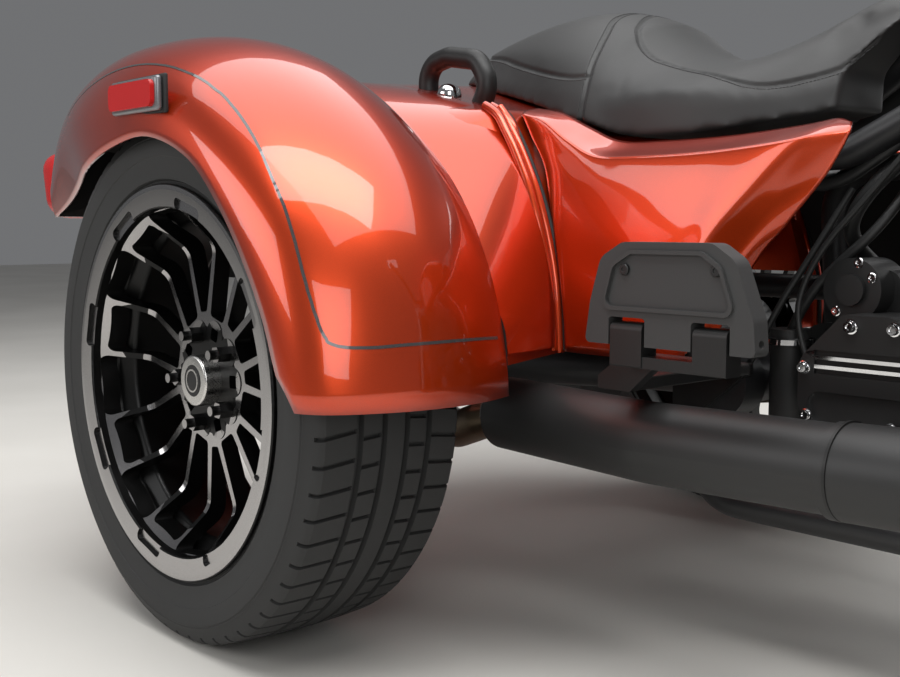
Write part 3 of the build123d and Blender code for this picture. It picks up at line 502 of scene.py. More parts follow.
def walled(piece, inner_point, depth, lining):
    """Gives a sheet its thickness away from its painted side, lined in another finish."""
    mesh = piece.data
    facing = sum((face.center - inner_point).dot(face.normal) * face.area for face in mesh.polygons)
    if facing < 0:
        mesh.flip_normals()
    mesh.materials.append(finish(lining))
    wall = piece.modifiers.new("wall", "SOLIDIFY")
    wall.thickness = depth * MM
    wall.offset = -1.0
    wall.material_offset = 1
    return piece


def baked(context, piece):
    """Bakes the piece's modifiers into its mesh."""
    context.view_layer.update()
    mesh = bpy.data.meshes.new_from_object(piece.evaluated_get(context.evaluated_depsgraph_get()))
    piece.modifiers.clear()
    piece.data = mesh


def remeshed(context, name, bm, voxel):
    """Object with the bmesh's form in even faces of a given size in metres."""
    mesh = bpy.data.meshes.new(name)
    bm.to_mesh(mesh)
    bm.free()
    piece = bpy.data.objects.new(name, mesh)
    context.scene.collection.objects.link(piece)
    even = piece.modifiers.new("even", "REMESH")
    even.mode = "VOXEL"
    even.voxel_size = voxel
    baked(context, piece)
    return piece


def smoothed(piece, rounds):
    """Smooths the piece's mesh a number of times."""
    bm = bmesh.new()
    bm.from_mesh(piece.data)
    for _ in range(rounds):
        bmesh.ops.smooth_vert(bm, verts=bm.verts, factor=0.5, use_axis_x=True, use_axis_y=True,
                              use_axis_z=True)
    bm.to_mesh(piece.data)
    bm.free()


def covered(mesh, material):
    """Gives the whole mesh smooth shading and one finish."""
    mesh.polygons.foreach_set("use_smooth", [True] * len(mesh.polygons))
    mesh.materials.clear()
    mesh.materials.append(finish(material))


def softened(context, name, node_name, voxel, rounds, material):
    """Rounded stand-in for a CAD node: remeshed evenly and smoothed."""
    piece = remeshed(context, name, node_mesh(node_name), voxel * MM)
    smoothed(piece, rounds)
    covered(piece.data, material)
    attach(piece, BODY_OF[node_name])
    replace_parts(piece, node_name)


class TRIKE_OT_wheels(bpy.types.Operator):
    """Machined faces, hub caps and lug nuts on the wheels"""
    bl_idname = "trike.wheels"
    bl_label = "Wheel faces"

    # Radii of the rim's band, the spokes, the cap and the ring of nuts; heights are from the wheel plane.
    BAND = (214.5, 244.0)
    BAND_OUT = 95
    SPOKES = (70, 214)
    SPOKE_GAP = 3.5
    CAP_REACH = 33
    NUTS = (40, 74)
    HUB_FACE = 44.0
    NUT_OUT = HUB_FACE + 10
    CAP_OUT = HUB_FACE + 22.2
    # name, rows of radius and height on the hub cap, finish
    CAP_DISCS = (
        ("wheel_badge_blank_", ((0, 0.0), (0, 0.9), (19, 0.9), (20, 0.0)), "gloss_black"),
        ("wheel_badge_ring_", ((12.5, 0.8), (12.5, 1.5), (14.5, 1.5), (14.5, 0.8)), "bare_metal"),
    )
    DISH = ((50, 44), (160, 39.4), (176, 42), (222, 97))

    def dish_y(self, radius):
        """Place of the spokes' front face along the axle at a radius."""
        for (r0, y0), (r1, y1) in zip(self.DISH, self.DISH[1:]):
            if radius <= r1:
                return y0 + (y1 - y0) * (radius - r0) / (r1 - r0)
        return self.DISH[-1][1]

    def execute(self, context):
        for side, name in SIDES:
            node_name = "wheel_rear_" + name
            plane = side * WHEEL_Y

            def polar(centre):
                x, z = (centre.x - AXLE_X) / MM, (centre.z - AXLE_Z) / MM
                return (x * x + z * z) ** 0.5, side * (centre.y - plane) / MM

            def machined(centre, normal):
                radius, out = polar(centre)
                if self.BAND[0] < radius < self.BAND[1]:
                    return side * normal.y > 0.985 and out > self.BAND_OUT
                return (self.SPOKES[0] < radius < self.SPOKES[1] and side * normal.y > 0.5
                        and abs(out - self.dish_y(radius)) < self.SPOKE_GAP)

            def cap(centre, normal):
                radius, out = polar(centre)
                return radius < self.CAP_REACH and out > self.HUB_FACE + 0.5

            def nut(centre, normal):
                radius, out = polar(centre)
                return self.NUTS[0] < radius < self.NUTS[1] and out > self.NUT_OUT and side * normal.y > 0.8

            skin("wheel_machined_" + name, node_name, machined, "machined", "wheel_black")
            skin("wheel_cap_" + name, node_name, cap, "bare_metal", "wheel_black")
            skin("wheel_nuts_" + name, node_name, nut, "machined", "wheel_black")
            face = Vector((AXLE_X, plane + side * self.CAP_OUT * MM, AXLE_Z))
            for part, rows, material in self.CAP_DISCS:
                turned_piece(part + name, face, (0, side, 0), rows, material, node_name, "wheel_black")
        return {"FINISHED"}


class TRIKE_OT_tyres(bpy.types.Operator):
    """Tyres with grooved treads, shoulder slots and ringed side walls"""
    bl_idname = "trike.tyres"
    bl_label = "Tyres"

    # node, half width, tread radius, bead half width, bead radius, flange radius, pitches,
    # grooves (place, width)
    REAR = (106.0, 325.4, 97.0, 229.0, 243.0, 64, ((15.5, 8.0), (47.0, 9.0)))
    ROWS = (
        ("tyre_rear_right", *REAR),
        ("tyre_rear_left", *REAR),
        ("tyre_front", 62.0, 319.2, 43.0, 241.5, 254.0, 60, ((9.0, 4.0), (27.0, 5.0))),
    )
    GROOVE_DEPTH = 7.0
    SLOT_DEPTH = 4.5
    SLOT_EDGE = 1.1
    STEPS = 6
    # Lean of the slots towards the shoulder: angle in degrees and how it grows.
    LEAN = (2.6, 1.3)

    def profile(self, half, tread, bead, bead_r, flange, grooves):
        """Half of the tyre's section from the middle of the tread to the bead."""
        edge = half - 17.0

        def crown(y):
            return tread - 4.2 * (y / edge) ** 2

        rows, last = [(0.0, tread)], 0.0
        for place, width in grooves:
            a, b = place - width / 2, place + width / 2
            rows.append(((last + a) / 2, crown((last + a) / 2)))
            rows += [(a, crown(a)), (a + 1.2, crown(a) - self.GROOVE_DEPTH),
                     (b - 1.2, crown(b) - self.GROOVE_DEPTH), (b, crown(b))]
            last = b
        rows += [(last + (edge - last) * 0.33, crown(last + (edge - last) * 0.33)),
                 (last + (edge - last) * 0.66, crown(last + (edge - last) * 0.66)), (edge, crown(edge))]
        rise = tread - flange
        rows += [(half - 13.0, tread - 6.8), (half - 10.2, tread - 10.0), (half - 8.6, tread - 13.5),
                 (half - 6.0, flange + 0.78 * rise), (half - 3.4, flange + 0.70 * rise),
                 (half - 2.2, flange + 0.685 * rise), (half - 2.4, flange + 0.66 * rise),
                 (half - 0.9, flange + 0.645 * rise), (half - 0.2, flange + 0.52 * rise),
                 (half - 0.8, flange + 0.40 * rise), (half - 2.0, flange + 0.385 * rise),
                 (half - 2.2, flange + 0.36 * rise), (half - 3.4, flange + 0.26 * rise),
                 (half - 4.2, flange + 0.2 * rise), (bead + 4.5, flange + 5.5), (bead + 0.6, flange + 3.2),
                 (bead, flange + 1.0), (bead, bead_r)]
        return rows

    def execute(self, context):
        for name, half, tread, bead, bead_r, flange, pitches, grooves in self.ROWS:
            low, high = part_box(name)
            centre = (Vector(low) + Vector(high)) / 2
            rows = self.profile(half, tread, bead, bead_r, flange, grooves)
            section = rows + [(-y, r) for y, r in reversed(rows[1:])]
            bm = bmesh.new()
            verts = [bm.verts.new(centre + Vector((0, y * MM, r * MM))) for y, r in section]
            edges = [bm.edges.new(two) for two in zip(verts, verts[1:] + verts[:1])]
            count = pitches * self.STEPS
            bmesh.ops.spin(bm, geom=verts + edges, cent=centre, axis=(0, 1, 0), angle=2 * pi, steps=count,
                           use_merge=True)
            bmesh.ops.remove_doubles(bm, verts=bm.verts, dist=1e-6)
            bmesh.ops.recalc_face_normals(bm, faces=bm.faces)
            outer = grooves[-1][0] + grooves[-1][1] / 2 + 0.5
            inner = (grooves[0][0] + grooves[0][1] / 2 + 0.5, grooves[-1][0] - grooves[-1][1] / 2 - 0.5)
            slots = []
            for face in bm.faces:
                middle = (face.calc_center_median() - centre) / MM
                y, radius = abs(middle.y), (middle.x ** 2 + middle.z ** 2) ** 0.5
                step = int((atan2(middle.x, middle.z) / (2 * pi) + 1.0) * count + 0.01)
                if radius < tread - 12.5:
                    continue
                if y > outer and step % self.STEPS == (0 if middle.y > 0 else 3):
                    slots.append(face)
                elif inner[0] < y < inner[1] and step % self.STEPS == (2 if middle.y > 0 else 5):
                    slots.append(face)
            bmesh.ops.inset_region(bm, faces=slots, thickness=self.SLOT_EDGE * MM,
                                   depth=-self.SLOT_DEPTH * MM, use_boundary=True, use_even_offset=True)
            for vert in bm.verts:
                rel = vert.co - centre
                y = abs(rel.y) / MM
                if rel.xz.length / MM > tread - 16 and y > grooves[0][0]:
                    turn = radians(self.LEAN[0]) * ((y - grooves[0][0]) / half) ** self.LEAN[1]
                    vert.co = centre + Matrix.Rotation(turn, 3, "Y") @ rel
            piece = settle(name + "_treaded", bm, "tyre_rubber", name, "tyre_rubber", 28.0)
            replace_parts(piece, name)
        return {"FINISHED"}


class TRIKE_OT_fenders(bpy.types.Operator):
    """Rear fenders of smooth sections with dark linings, and their pinstripes"""
    bl_idname = "trike.fenders"
    bl_label = "Fenders"

    # Centre that the sections fan out from, inner edge and crest across from the wheel plane, and tail.
    FAN = (-60, 328)
    INNER = 130.0
    CREST = 30.0
    TAIL = -520
    WALL = 5.0
    STEPS = 10
    ARC = 16
    AROUND = 34
    # Reach about the axle and height of the trunk's side inside the wheel well, in metres.
    WELL = (0.47, 0.70)
    # angle up from the front, crown radius, outer side from the wheel plane, shoulder radius, inner drop
    SECTIONS = (
        (0, 446, 125, 70, 22), (30, 437, 127, 78, 26), (60, 425, 128, 95, 30), (90, 433, 128, 112, 26),
        (115, 463, 114, 120, 20), (135, 520, 75, 110, 14), (160, 604, 8, 70, 10),
    )
    # x and z of the opening's edge, seen from the side
    LIP = ((312, 326), (311, 338), (284, 362), (262, 416), (228, 474), (177, 538), (112, 592), (20, 622),
           (-76, 616), (-220, 587), (-370, 558), (-540, 526))
    # Line of the pinstripe on the right fender, from its front inner edge over the top to the tail.
    STRIPE = (
        (388, -432, 399), (390, -500, 399), (388, -597, 399), (372, -655, 401), (356, -672, 408),
        (348, -676, 425), (326, -677, 466), (298, -674, 520), (254, -668, 580), (192, -660, 640),
        (129, -655, 680), (72, -652, 702), (-14, -650, 716), (-110, -648, 712), (-210, -640, 690),
        (-300, -622, 662),
    )
    WIDTH = 3.4

    def lip_radius(self, angle):
        """Distance of the opening's edge from the fan's centre."""
        line = [Vector((x - self.FAN[0], z - self.FAN[1])) for x, z in self.LIP]
        turns = [(atan2(point.y, point.x), point.length) for point in through(line, 6)]
        for (t0, r0), (t1, r1) in zip(turns, turns[1:]):
            if angle <= t1:
                return r0 + (r1 - r0) * (angle - t0) / (t1 - t0)
        return turns[-1][1]

    def section(self, crown, out, shoulder, drop, lip):
        """Cross-section from the outer edge over the crown to the inner edge: across and radius."""
        sweep = ((self.INNER - self.CREST) ** 2 + drop ** 2) / (2 * drop)
        centre, middle = crown - sweep, shoulder - out
        rise = ((sweep - shoulder) ** 2 - (middle - self.CREST) ** 2) ** 0.5
        turn = atan2(rise, middle - self.CREST)
        end = atan2((sweep ** 2 - (self.INNER - self.CREST) ** 2) ** 0.5, self.INNER - self.CREST)
        line = [Vector((-out, min(lip, centre + rise) - 1))]
        for k in range(self.ARC + 1):
            a = pi + (turn - pi) * k / self.ARC
            line.append(Vector((middle + shoulder * cos(a), centre + rise + shoulder * sin(a))))
        for k in range(1, self.ARC + 1):
            a = turn + (end - turn) * k / self.ARC
            line.append(Vector((self.CREST + sweep * cos(a), centre + sweep * sin(a))))
        while line[1].y < lip:
            line.pop(0)
        step = line[1] - line[0]
        if line[0].y < lip and step.y > 1e-6:
            line[0] = line[0] + step * ((lip - line[0].y) / step.y)
        return [*resampled(line, self.AROUND), Vector((self.INNER, line[-1].y - 12)),
                Vector((self.INNER, lip))]

    def execute(self, context):
        body_half = max(abs(corner[1]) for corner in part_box("trunk_body"))
        rows = []
        for angle, crown, out, shoulder, drop in through([Vector(row) for row in self.SECTIONS], self.STEPS):
            a = radians(angle)
            rows.append((a, self.section(crown, out, shoulder, drop, self.lip_radius(a))))
        for side, name in SIDES:
            node_name = "fender_" + name

            def place(i, j):
                a, line = rows[i]
                across, radius = line[j]
                return at(self.FAN[0] + radius * cos(a), side * (WHEEL_Y / MM - across),
                          self.FAN[1] + radius * sin(a))

            bm = sheet(len(rows) - 1, len(rows[0][1]) - 1, place)
            cut = bmesh.ops.bisect_plane(bm, geom=bm.verts[:] + bm.edges[:] + bm.faces[:], clear_outer=True,
                                         plane_co=at(self.TAIL, 0, 0), plane_no=(-1, 0, 0))["geom_cut"]
            rim = [item for item in cut if isinstance(item, bmesh.types.BMEdge)]
            ends = [item for item in cut if isinstance(item, bmesh.types.BMVert)
                    and sum(edge in rim for edge in item.link_edges) == 1]
            if len(ends) == 2:
                rim.append(bm.edges.new(ends))
                bmesh.ops.contextual_create(bm, geom=rim)
            bmesh.ops.recalc_face_normals(bm, faces=bm.faces)
            tree = BVHTree.FromBMesh(bm)
            middle = Vector((AXLE_X, side * WHEEL_Y, AXLE_Z))
            self.stripe(side, name, node_name, tree, middle)
            piece = settle("fender_shell_" + name, bm, "candy_paint", node_name, "orange_paint", 40.0)
            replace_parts(walled(piece, middle, self.WALL, "black_liner_and_gap_shade"), node_name)

            def well(centre, normal):
                return (side * normal.y > 0.8 and abs(centre.y) > body_half - 2 * MM
                        and (centre - middle).xz.length < self.WELL[0] and centre.z < self.WELL[1])

            skin("wheel_well_side_" + name, "trunk_body", well, "black_liner_and_gap_shade", "frame_black", 0.4)
        return {"FINISHED"}

    def stripe(self, side, name, node_name, tree, middle):
        """Thin stripe laid on the fender's skin."""
        line = spaced(smooth_line([at(x, -side * y, z) for x, y, z in self.STRIPE]), 4 * MM)
        centres = smooth_line([tree.find_nearest(point)[0] for point in line], 1)
        rows = []
        for k, centre in enumerate(centres):
            ahead = centres[min(k + 1, len(centres) - 1)] - centres[max(k - 1, 0)]
            place, normal = tree.find_nearest(centre)[:2]
            if (place - middle).dot(normal) < 0:
                normal = -normal
            aside = normal.cross(ahead).normalized() * self.WIDTH / 2 * MM
            rows.append((place + normal * 0.4 * MM - aside, place + normal * 0.4 * MM + aside))
        bm = sheet(len(rows) - 1, 1, lambda i, j: rows[i][j])
        settle("pinstripe_" + name, bm, "stripe_grey", node_name, "orange_paint")


class TRIKE_OT_body_panels(bpy.types.Operator):
    """Side covers, the trunk's flanks, the fuel tank's skin and the tail lenses"""
    bl_idname = "trike.body_panels"
    bl_label = "Body panels"

    # Side cover from the trunk's seam to the nose, each line from the seat's edge over the ridge down.
    COVER = (
        ((197, 214, 671), (198, 238, 667), (207, 255, 661), (228, 258, 630), (258, 264, 590),
         (285, 278.5, 525), (306, 287.3, 465), (316, 289, 410), (316, 285.2, 364)),
        ((238, 210, 662), (239, 236, 657), (244, 255.5, 650), (265, 259.7, 615), (288, 267.5, 575),
         (315, 280.3, 515), (334, 287.7, 460), (344, 289, 410), (346, 285.2, 364)),
        ((285, 208, 641), (285, 234, 632), (287, 257.6, 624), (305, 263.6, 592), (325, 271.7, 556),
         (350, 282.1, 505), (366, 287.9, 456), (376, 289, 410), (380, 285.2, 364)),
        ((335, 208, 622), (335, 234, 611), (337, 260.6, 602), (350, 267.5, 575), (366, 274.1, 545),
         (386, 283, 500), (402, 287.9, 456), (411, 289, 410), (415, 285.2, 364)),
        ((400, 207, 619), (400, 233, 608), (400, 261.4, 598), (406, 267.9, 573), (415, 274.5, 543),
         (428, 283, 500), (440, 287.9, 456), (448, 289, 410), (452, 285.2, 364)),
        ((500, 207, 620), (500, 233, 609), (500, 261.2, 599), (498, 267.3, 576), (494, 273.4, 548),
         (489, 281.6, 508), (487, 287.5, 463), (486, 289, 413), (485, 285.4, 366)),
        ((590, 207, 626), (590, 233, 616), (591, 260, 605), (578, 266.1, 581), (560, 271.9, 555),
         (540, 278.1, 527), (524, 283.1, 499), (510, 288.3, 450), (500, 286.6, 376)),
        ((634, 212, 630), (634, 234, 621), (635, 252, 611), (620, 254, 588), (603, 257, 562),
         (584, 260, 537), (566, 264, 509), (543, 269, 463), (508, 276, 383)),
        ((660, 226, 624), (665, 236, 620), (669, 245, 613), (661, 245, 597), (644, 244, 571),
         (621, 243, 545), (597, 244, 518), (561, 249, 474), (515, 264, 378)),
    )
    RIDGE_ROUND = 5.0
    # Trunk's flank: first and last angle up from the front, inner and outer place across.
    FLANK = (6.4, 96.0, 292.0, 423.6)
    FLANK_STEPS = (46, 18)
    FADE_STEPS = 12
    LEAST_BULGE = 2.0
    ROUNDS = 24
    COVER_WALL = 4.0
    TANK_VOXEL = 6.0
    TANK_ROUNDS = 28
    # Tail lens: rear and front, middle and half width, foot and top, rounding, and how its rear leans in.
    LENS_X = (-606, -520.5)
    LENS_Y = (500, 66)
    LENS_Z = (528, 634)
    LENS_ROUND = 30
    LENS_LEAN = 22
    LENS_SPLIT = 552
    # Beads along the seam between trunk and side cover, and painted shade in its gap: the line, then step
    # ahead, step out, radius, finish
    SEAM = ((172, 280, 671), (196, 282, 662), (214, 284, 638), (233, 285, 611), (265, 286, 552),
            (290, 287, 478), (301, 288, 420), (303, 288, 366))
    # The last row is not a bead. It is a thin black tube of painted shade in the gap beside the beads.
    SEAM_BEADS_AND_GAP_SHADE = ((5, 11, 6.0, "candy_paint"), (6, 0, 5.5, "candy_paint"), (9, -6, 3.0, "black_liner_and_gap_shade"))

    def execute(self, context):
        for side, name in SIDES:
            self.cover(side, name)
            self.flank(side, name)
            self.tail_lens(side, name)
        softened(context, "fuel_tank_shell", "fuel_tank", self.TANK_VOXEL, self.TANK_ROUNDS, "candy_paint")
        return {"FINISHED"}

    def tail_lens(self, side, name):
        """Rounded lens whose rear leans in towards its foot."""
        (rear, front), (middle, half), (foot, top) = self.LENS_X, self.LENS_Y, self.LENS_Z
        bm = bmesh.new()
        add_box(bm, at(rear, side * middle - half, foot), at(front, side * middle + half, top),
                self.LENS_ROUND, 6)
        for vert in bm.verts:
            if vert.co.x < AXLE_X - self.LENS_SPLIT * MM:
                drop = (top - vert.co.z / MM) / (top - foot)
                vert.co.x += self.LENS_LEAN * MM * drop ** 2
        piece = settle("tail_lens_" + name, bm, "red_lens", "tail_lamp_" + name, "red_lens", 60.0)
        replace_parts(piece, "tail_lamp_" + name)

    def cover(self, side, name):
        """Side cover: a rounded ridge, a soft face and a nose that turns inward."""
        chains = []
        for row in self.COVER:
            line = [at(x, side * y, z) for x, y, z in row]
            ridge = line[2]
            near = [ridge + (line[k] - ridge).normalized() * self.RIDGE_ROUND * MM for k in (1, 3)]
            crest = ridge + (near[0] + near[1] - 2 * ridge) * 0.25
            chains.append(through([*line[:2], near[0], crest, near[1], *line[3:]], 5))
        columns = [through(list(column), 8) for column in zip(*chains)]
        bm = sheet(len(columns) - 1, len(columns[0]) - 1, lambda i, j: columns[i][j])
        node_name = "side_cover_" + name
        piece = settle("side_cover_shell_" + name, bm, "candy_paint", node_name, "orange_paint", 50.0)
        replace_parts(walled(piece, at(450, side * 100, 480), self.COVER_WALL, "black_liner_and_gap_shade"), node_name)

    def flank(self, side, name):
        """Smooth, lightly bulged skin over the trunk's flank, with the beads of its seam and a black strip
        of painted shade in the seam's gap.
        """
        bm = node_mesh("trunk_body")
        tree = BVHTree.FromBMesh(bm)
        bm.free()
        start, end, y_in, y_out = self.FLANK
        across, along = self.FLANK_STEPS
        centre = at(-60, 0, 328)
        reach = []
        for i in range(across + 1):
            a = radians(start + (end - start) * i / across)
            out = Vector((cos(a), 0, sin(a)))
            row = []
            for j in range(along + 1):
                base = centre + Vector((0, side * (y_in + (y_out - y_in) * j / along) * MM, 0))
                hit = tree.ray_cast(base + out * 0.8, -out, 0.6)[0]
                row.append((hit - base).length if hit else (row[-1] if row else reach[-1][0]))
            reach.append(row)
        edges = [[row[0] for row in reach], [row[-1] for row in reach]]
        bulge = []
        for row in reach:
            most = max((row[j] - row[0] - (row[-1] - row[0]) * j / along)
                       / (4 * j / along * (1 - j / along)) for j in range(2, along - 1))
            bulge.append(max(self.LEAST_BULGE * MM, most))
        for _ in range(self.ROUNDS):
            for line in (*edges, bulge):
                line[1:-1] = [(p + 2 * q + r) / 4 for p, q, r in zip(line, line[1:], line[2:])]

        def place(i, j):
            a, s = radians(start + (end - start) * i / across), j / along
            base = centre + Vector((0, side * (y_in + (y_out - y_in) * s) * MM, 0))
            fade = min(1.0, (across - i) / self.FADE_STEPS)
            rise = (bulge[i] + 1.5 * MM) * fade * 4 * s * (1 - s) + (0.5 + 1.0 * fade) * MM
            return base + Vector((cos(a), 0, sin(a))) * (edges[0][i] * (1 - s) + edges[1][i] * s + rise)

        settle("trunk_flank_" + name, sheet(across, along, place), "candy_paint", "trunk_body",
               "orange_paint", 60.0)
        # The last of these is painted shade: a black tube laid in the seam's gap.
        for number, (ahead, out, radius, material) in enumerate(self.SEAM_BEADS_AND_GAP_SHADE):
            line = [(x + ahead, side * (y + out), z) for x, y, z in self.SEAM]
            hose(f"seam_bead_{name}_{number}", line, radius, material, "trunk_body", "orange_paint")


class TRIKE_OT_seat(bpy.types.Operator):
    """Stitched two-up seat, puffed by cloth pressure over its frame shape"""
    bl_idname = "trike.seat"
    bl_label = "Seat"

    # Seams on the right half, from the middle outwards or from the tail forwards.
    CROSS = ((190, 0, 812), (196, -40, 806), (203, -75, 793), (221, -107, 772), (233, -136, 746),
             (240, -160, 720), (247, -178, 692), (246, -187, 662), (245, -190, 648))
    PASSENGER = ((-72, 0, 776), (-60, -60, 770), (-20, -100, 765), (29, -118, 758), (80, -141, 744),
                 (116, -151, 734), (155, -161, 724), (190, -168, 716), (220, -170, 711), (246, -166, 711))
    RIDER = ((214, 0, 806), (233, -46, 793), (258, -95, 764), (298, -112, 733), (339, -112, 717),
             (392, -129, 702), (464, -160, 683), (518, -163, 680), (570, -140, 690), (640, -112, 712))
    VOXEL = 0.0055
    PRESSURE = 4.0
    CAP = 7.0
    SEAM_HALF = 5.0
    SEAM_DEPTH = 3.2
    # Rear face of the front half, and how far it is pushed back and the tops are lowered at first.
    HALF_LINE = 262.5
    DRAWN_IN = 3.0
    CLOTH_STEPS = 20
    # Stitches: pitch, distance from the seam, thickness and length
    STITCH = (4.2, 5.2, 0.45, 3.1)

    def puffed(self, context):
        """Cushion mesh, swollen by cloth pressure and capped where it rests."""
        bm = node_mesh("seat_passenger")
        front = bpy.data.meshes.new("front_half")
        ahead = node_mesh("seat_rider")
        for vert in ahead.verts:
            if vert.co.x < AXLE_X + self.HALF_LINE * MM:
                vert.co.x -= self.DRAWN_IN * MM
        ahead.to_mesh(front)
        ahead.free()
        bm.from_mesh(front)
        for vert in bm.verts:
            if vert.normal.z > 0:
                vert.co.z -= self.DRAWN_IN * MM * vert.normal.z
        piece = remeshed(context, "seat_cover", bm, self.VOXEL)
        rest = [vert.co.copy() for vert in piece.data.vertices]
        normals = [vert.normal.copy() for vert in piece.data.vertices]
        cloth = piece.modifiers.new("cloth", "CLOTH")
        cloth.settings.quality = 4
        cloth.settings.use_pressure = True
        cloth.settings.uniform_pressure_force = self.PRESSURE
        cloth.settings.effector_weights.gravity = 0.0
        cloth.collision_settings.use_self_collision = False
        for step in range(1, self.CLOTH_STEPS + 1):
            context.scene.frame_set(step)
        baked(context, piece)
        context.scene.frame_set(1)
        for vert, start, normal in zip(piece.data.vertices, rest, normals):
            cap = self.CAP * MM * min(1.0, max(0.0, normal.z + 0.35))
            move = vert.co - start
            if move.length > cap:
                vert.co = start + move * (cap / max(move.length, 1e-9))
        smoothed(piece, 4)
        finer = piece.modifiers.new("finer", "SUBSURF")
        finer.levels = finer.render_levels = 1
        baked(context, piece)
        return piece

    def execute(self, context):
        piece = self.puffed(context)
        mesh = piece.data
        tree = BVHTree.FromPolygons([v.co for v in mesh.vertices], [p.vertices for p in mesh.polygons])
        seams = []
        for rows in (self.CROSS, self.PASSENGER, self.RIDER):
            for side in (1, -1):
                line = spaced(smooth_line([at(x, side * y, z) for x, y, z in rows], 2), 2.5 * MM)
                seams.append([tree.find_nearest(point)[0] for point in line])
        points = [point for seam in seams for point in seam]
        near = KDTree(len(points))
        for k, point in enumerate(points):
            near.insert(point, k)
        near.balance()
        half = self.SEAM_HALF * MM
        depth = self.SEAM_DEPTH * MM
        moves = []
        for vert in mesh.vertices:
            gap = near.find(vert.co)[2]
            if gap < half:
                moves.append((vert.index, vert.normal * depth * (1 - (gap / half) ** 2) ** 2))
        for index, move in moves:
            mesh.vertices[index].co -= move
        woven = mesh.attributes.new("woven", "FLOAT", "POINT")
        edge = [(at(x, y, z).x, -y * MM) for x, y, z in self.RIDER[1:]]
        for vert in mesh.vertices:
            value = 0.0
            x, y = vert.co.x, abs(vert.co.y)
            for (x0, y0), (x1, y1) in zip(edge, edge[1:]):
                if x0 <= x < x1 and vert.normal.z > 0.1:
                    limit = y0 + (y1 - y0) * (x - x0) / (x1 - x0)
                    value = min(1.0, max(0.0, (limit - 6 * MM - y) / (3 * MM)))
            woven.data[vert.index].value = value
        covered(mesh, "seat_cover")
        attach(piece, BODY_OF["seat_rider"])
        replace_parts(piece, "seat_passenger", "seat_rider")
        self.stitches(seams, tree)
        return {"FINISHED"}

    def stitches(self, seams, tree):
        """Rows of thread beside each seam."""
        pitch, aside_by, thick, length = (value * MM for value in self.STITCH)
        bm = bmesh.new()
        for number, seam in enumerate(seams):
            sides = (-1, 1) if number < 2 else (1 if number % 2 else -1,)
            line = spaced(smooth_line(seam, 1), pitch)
            for a, b in zip(line, line[1:]):
                middle, along = (a + b) / 2, (b - a).normalized()
                for side in sides:
                    place, normal = tree.find_nearest(middle)[:2]
                    aside = normal.cross(along).normalized()
                    place, normal = tree.find_nearest(middle + aside * side * aside_by)[:2]
                    matrix = Matrix.Translation(place + normal * 0.25 * MM) @ turn_to(along)
                    bmesh.ops.create_cone(bm, cap_ends=True, segments=6, radius1=thick, radius2=thick,
                                          depth=length, matrix=matrix)
        settle("seat_stitches", bm, "thread", "seat_rider", "seat_cover")


class TRIKE_OT_lamps(bpy.types.Operator):
    """Bezels and gaskets of the marker lamps, and the headlamp's ring and glass"""
    bl_idname = "trike.lamps"
    bl_label = "Lamps"

    # Frames of the marker lamp: name, inner and outer depth, margin along, margin up, bevel, finish, slot
    FRAMES = (
        ("marker_bezel_", 14, 5.5, 5, 4.5, 4.0, "bezel_grey", "gloss_black"),
        ("marker_gasket_", 20, 14, 8, 7, 2.5, "black_liner_and_gap_shade", "frame_black"),
    )
    # name, rows of radius and height about the headlamp's axis, finish, slot
    HEADLAMP = (
        ("headlamp_ring", ((96, -16), (99, -12), (99, -2), (94, 3), (86, 3), (84, 0), (84, -16)),
         "chrome", "fork_alloy"),
        ("headlamp_glass", ((0, 6), (30, 5), (60, 3), (85, 0), (85, -2), (0, -1)),
         "lamp_glass", "gloss_black"),
    )

    def execute(self, context):
        for side, name in SIDES:
            low, high = (Vector(corner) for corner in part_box("marker_lamp_" + name))
            outer = high.y if side > 0 else low.y
            for part, inner_depth, outer_depth, along, up, bevel, material, slot in self.FRAMES:
                near, far = sorted(outer - side * depth * MM for depth in (inner_depth, outer_depth))
                bm = bmesh.new()
                add_box(bm, (low.x - along * MM, near, low.z - up * MM),
                        (high.x + along * MM, far, high.z + up * MM), bevel)
                settle(part + name, bm, material, "marker_lamp_" + name, slot)
        low, high = (Vector(corner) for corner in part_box("headlamp"))
        centre = Vector((high.x, 0, (low.z + high.z) / 2))
        for name, rows, material, slot in self.HEADLAMP:
            turned_piece(name, centre, (1, 0, 0), rows, material, "headlamp", slot, 64)
        return {"FINISHED"}


class TRIKE_OT_footboards(bpy.types.Operator):
    """Buttons and pivot pin caps of the passenger footboards"""
    bl_idname = "trike.footboards"
    bl_label = "Footboards"

    BUTTONS = ((519, 474), (633, 476))
    BUTTON = ((6, 0), (6, 2.0), (5, 3.0), (2.6, 3.0), (2.2, 2.2), (0, 2.2))
    # Pivot pin's caps: place along and the way each faces
    PINS = ((492, -1), (656, 1))
    PIN = ((7, 0), (7, 3), (5.5, 5), (0, 5))

    def execute(self, context):
        for side, name in SIDES:
            node_name = "passenger_board_" + name
            low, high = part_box(node_name)
            face = (max(abs(low[1]), abs(high[1])) - 3 * MM) / MM
            bm = bmesh.new()
            for x, z in self.BUTTONS:
                add_turned(bm, at(x, side * (face - 0.6), z), (0, side, 0), self.BUTTON, 24)
            settle("board_buttons_" + name, bm, "gloss_black", node_name, "gloss_black")
            bm = bmesh.new()
            for x, way in self.PINS:
                add_turned(bm, at(x, side * 400, 408), (way, 0, 0), self.PIN, 20)
            settle("board_pin_caps_" + name, bm, "bare_metal", "passenger_bracket_" + name, "gloss_black")
        return {"FINISHED"}


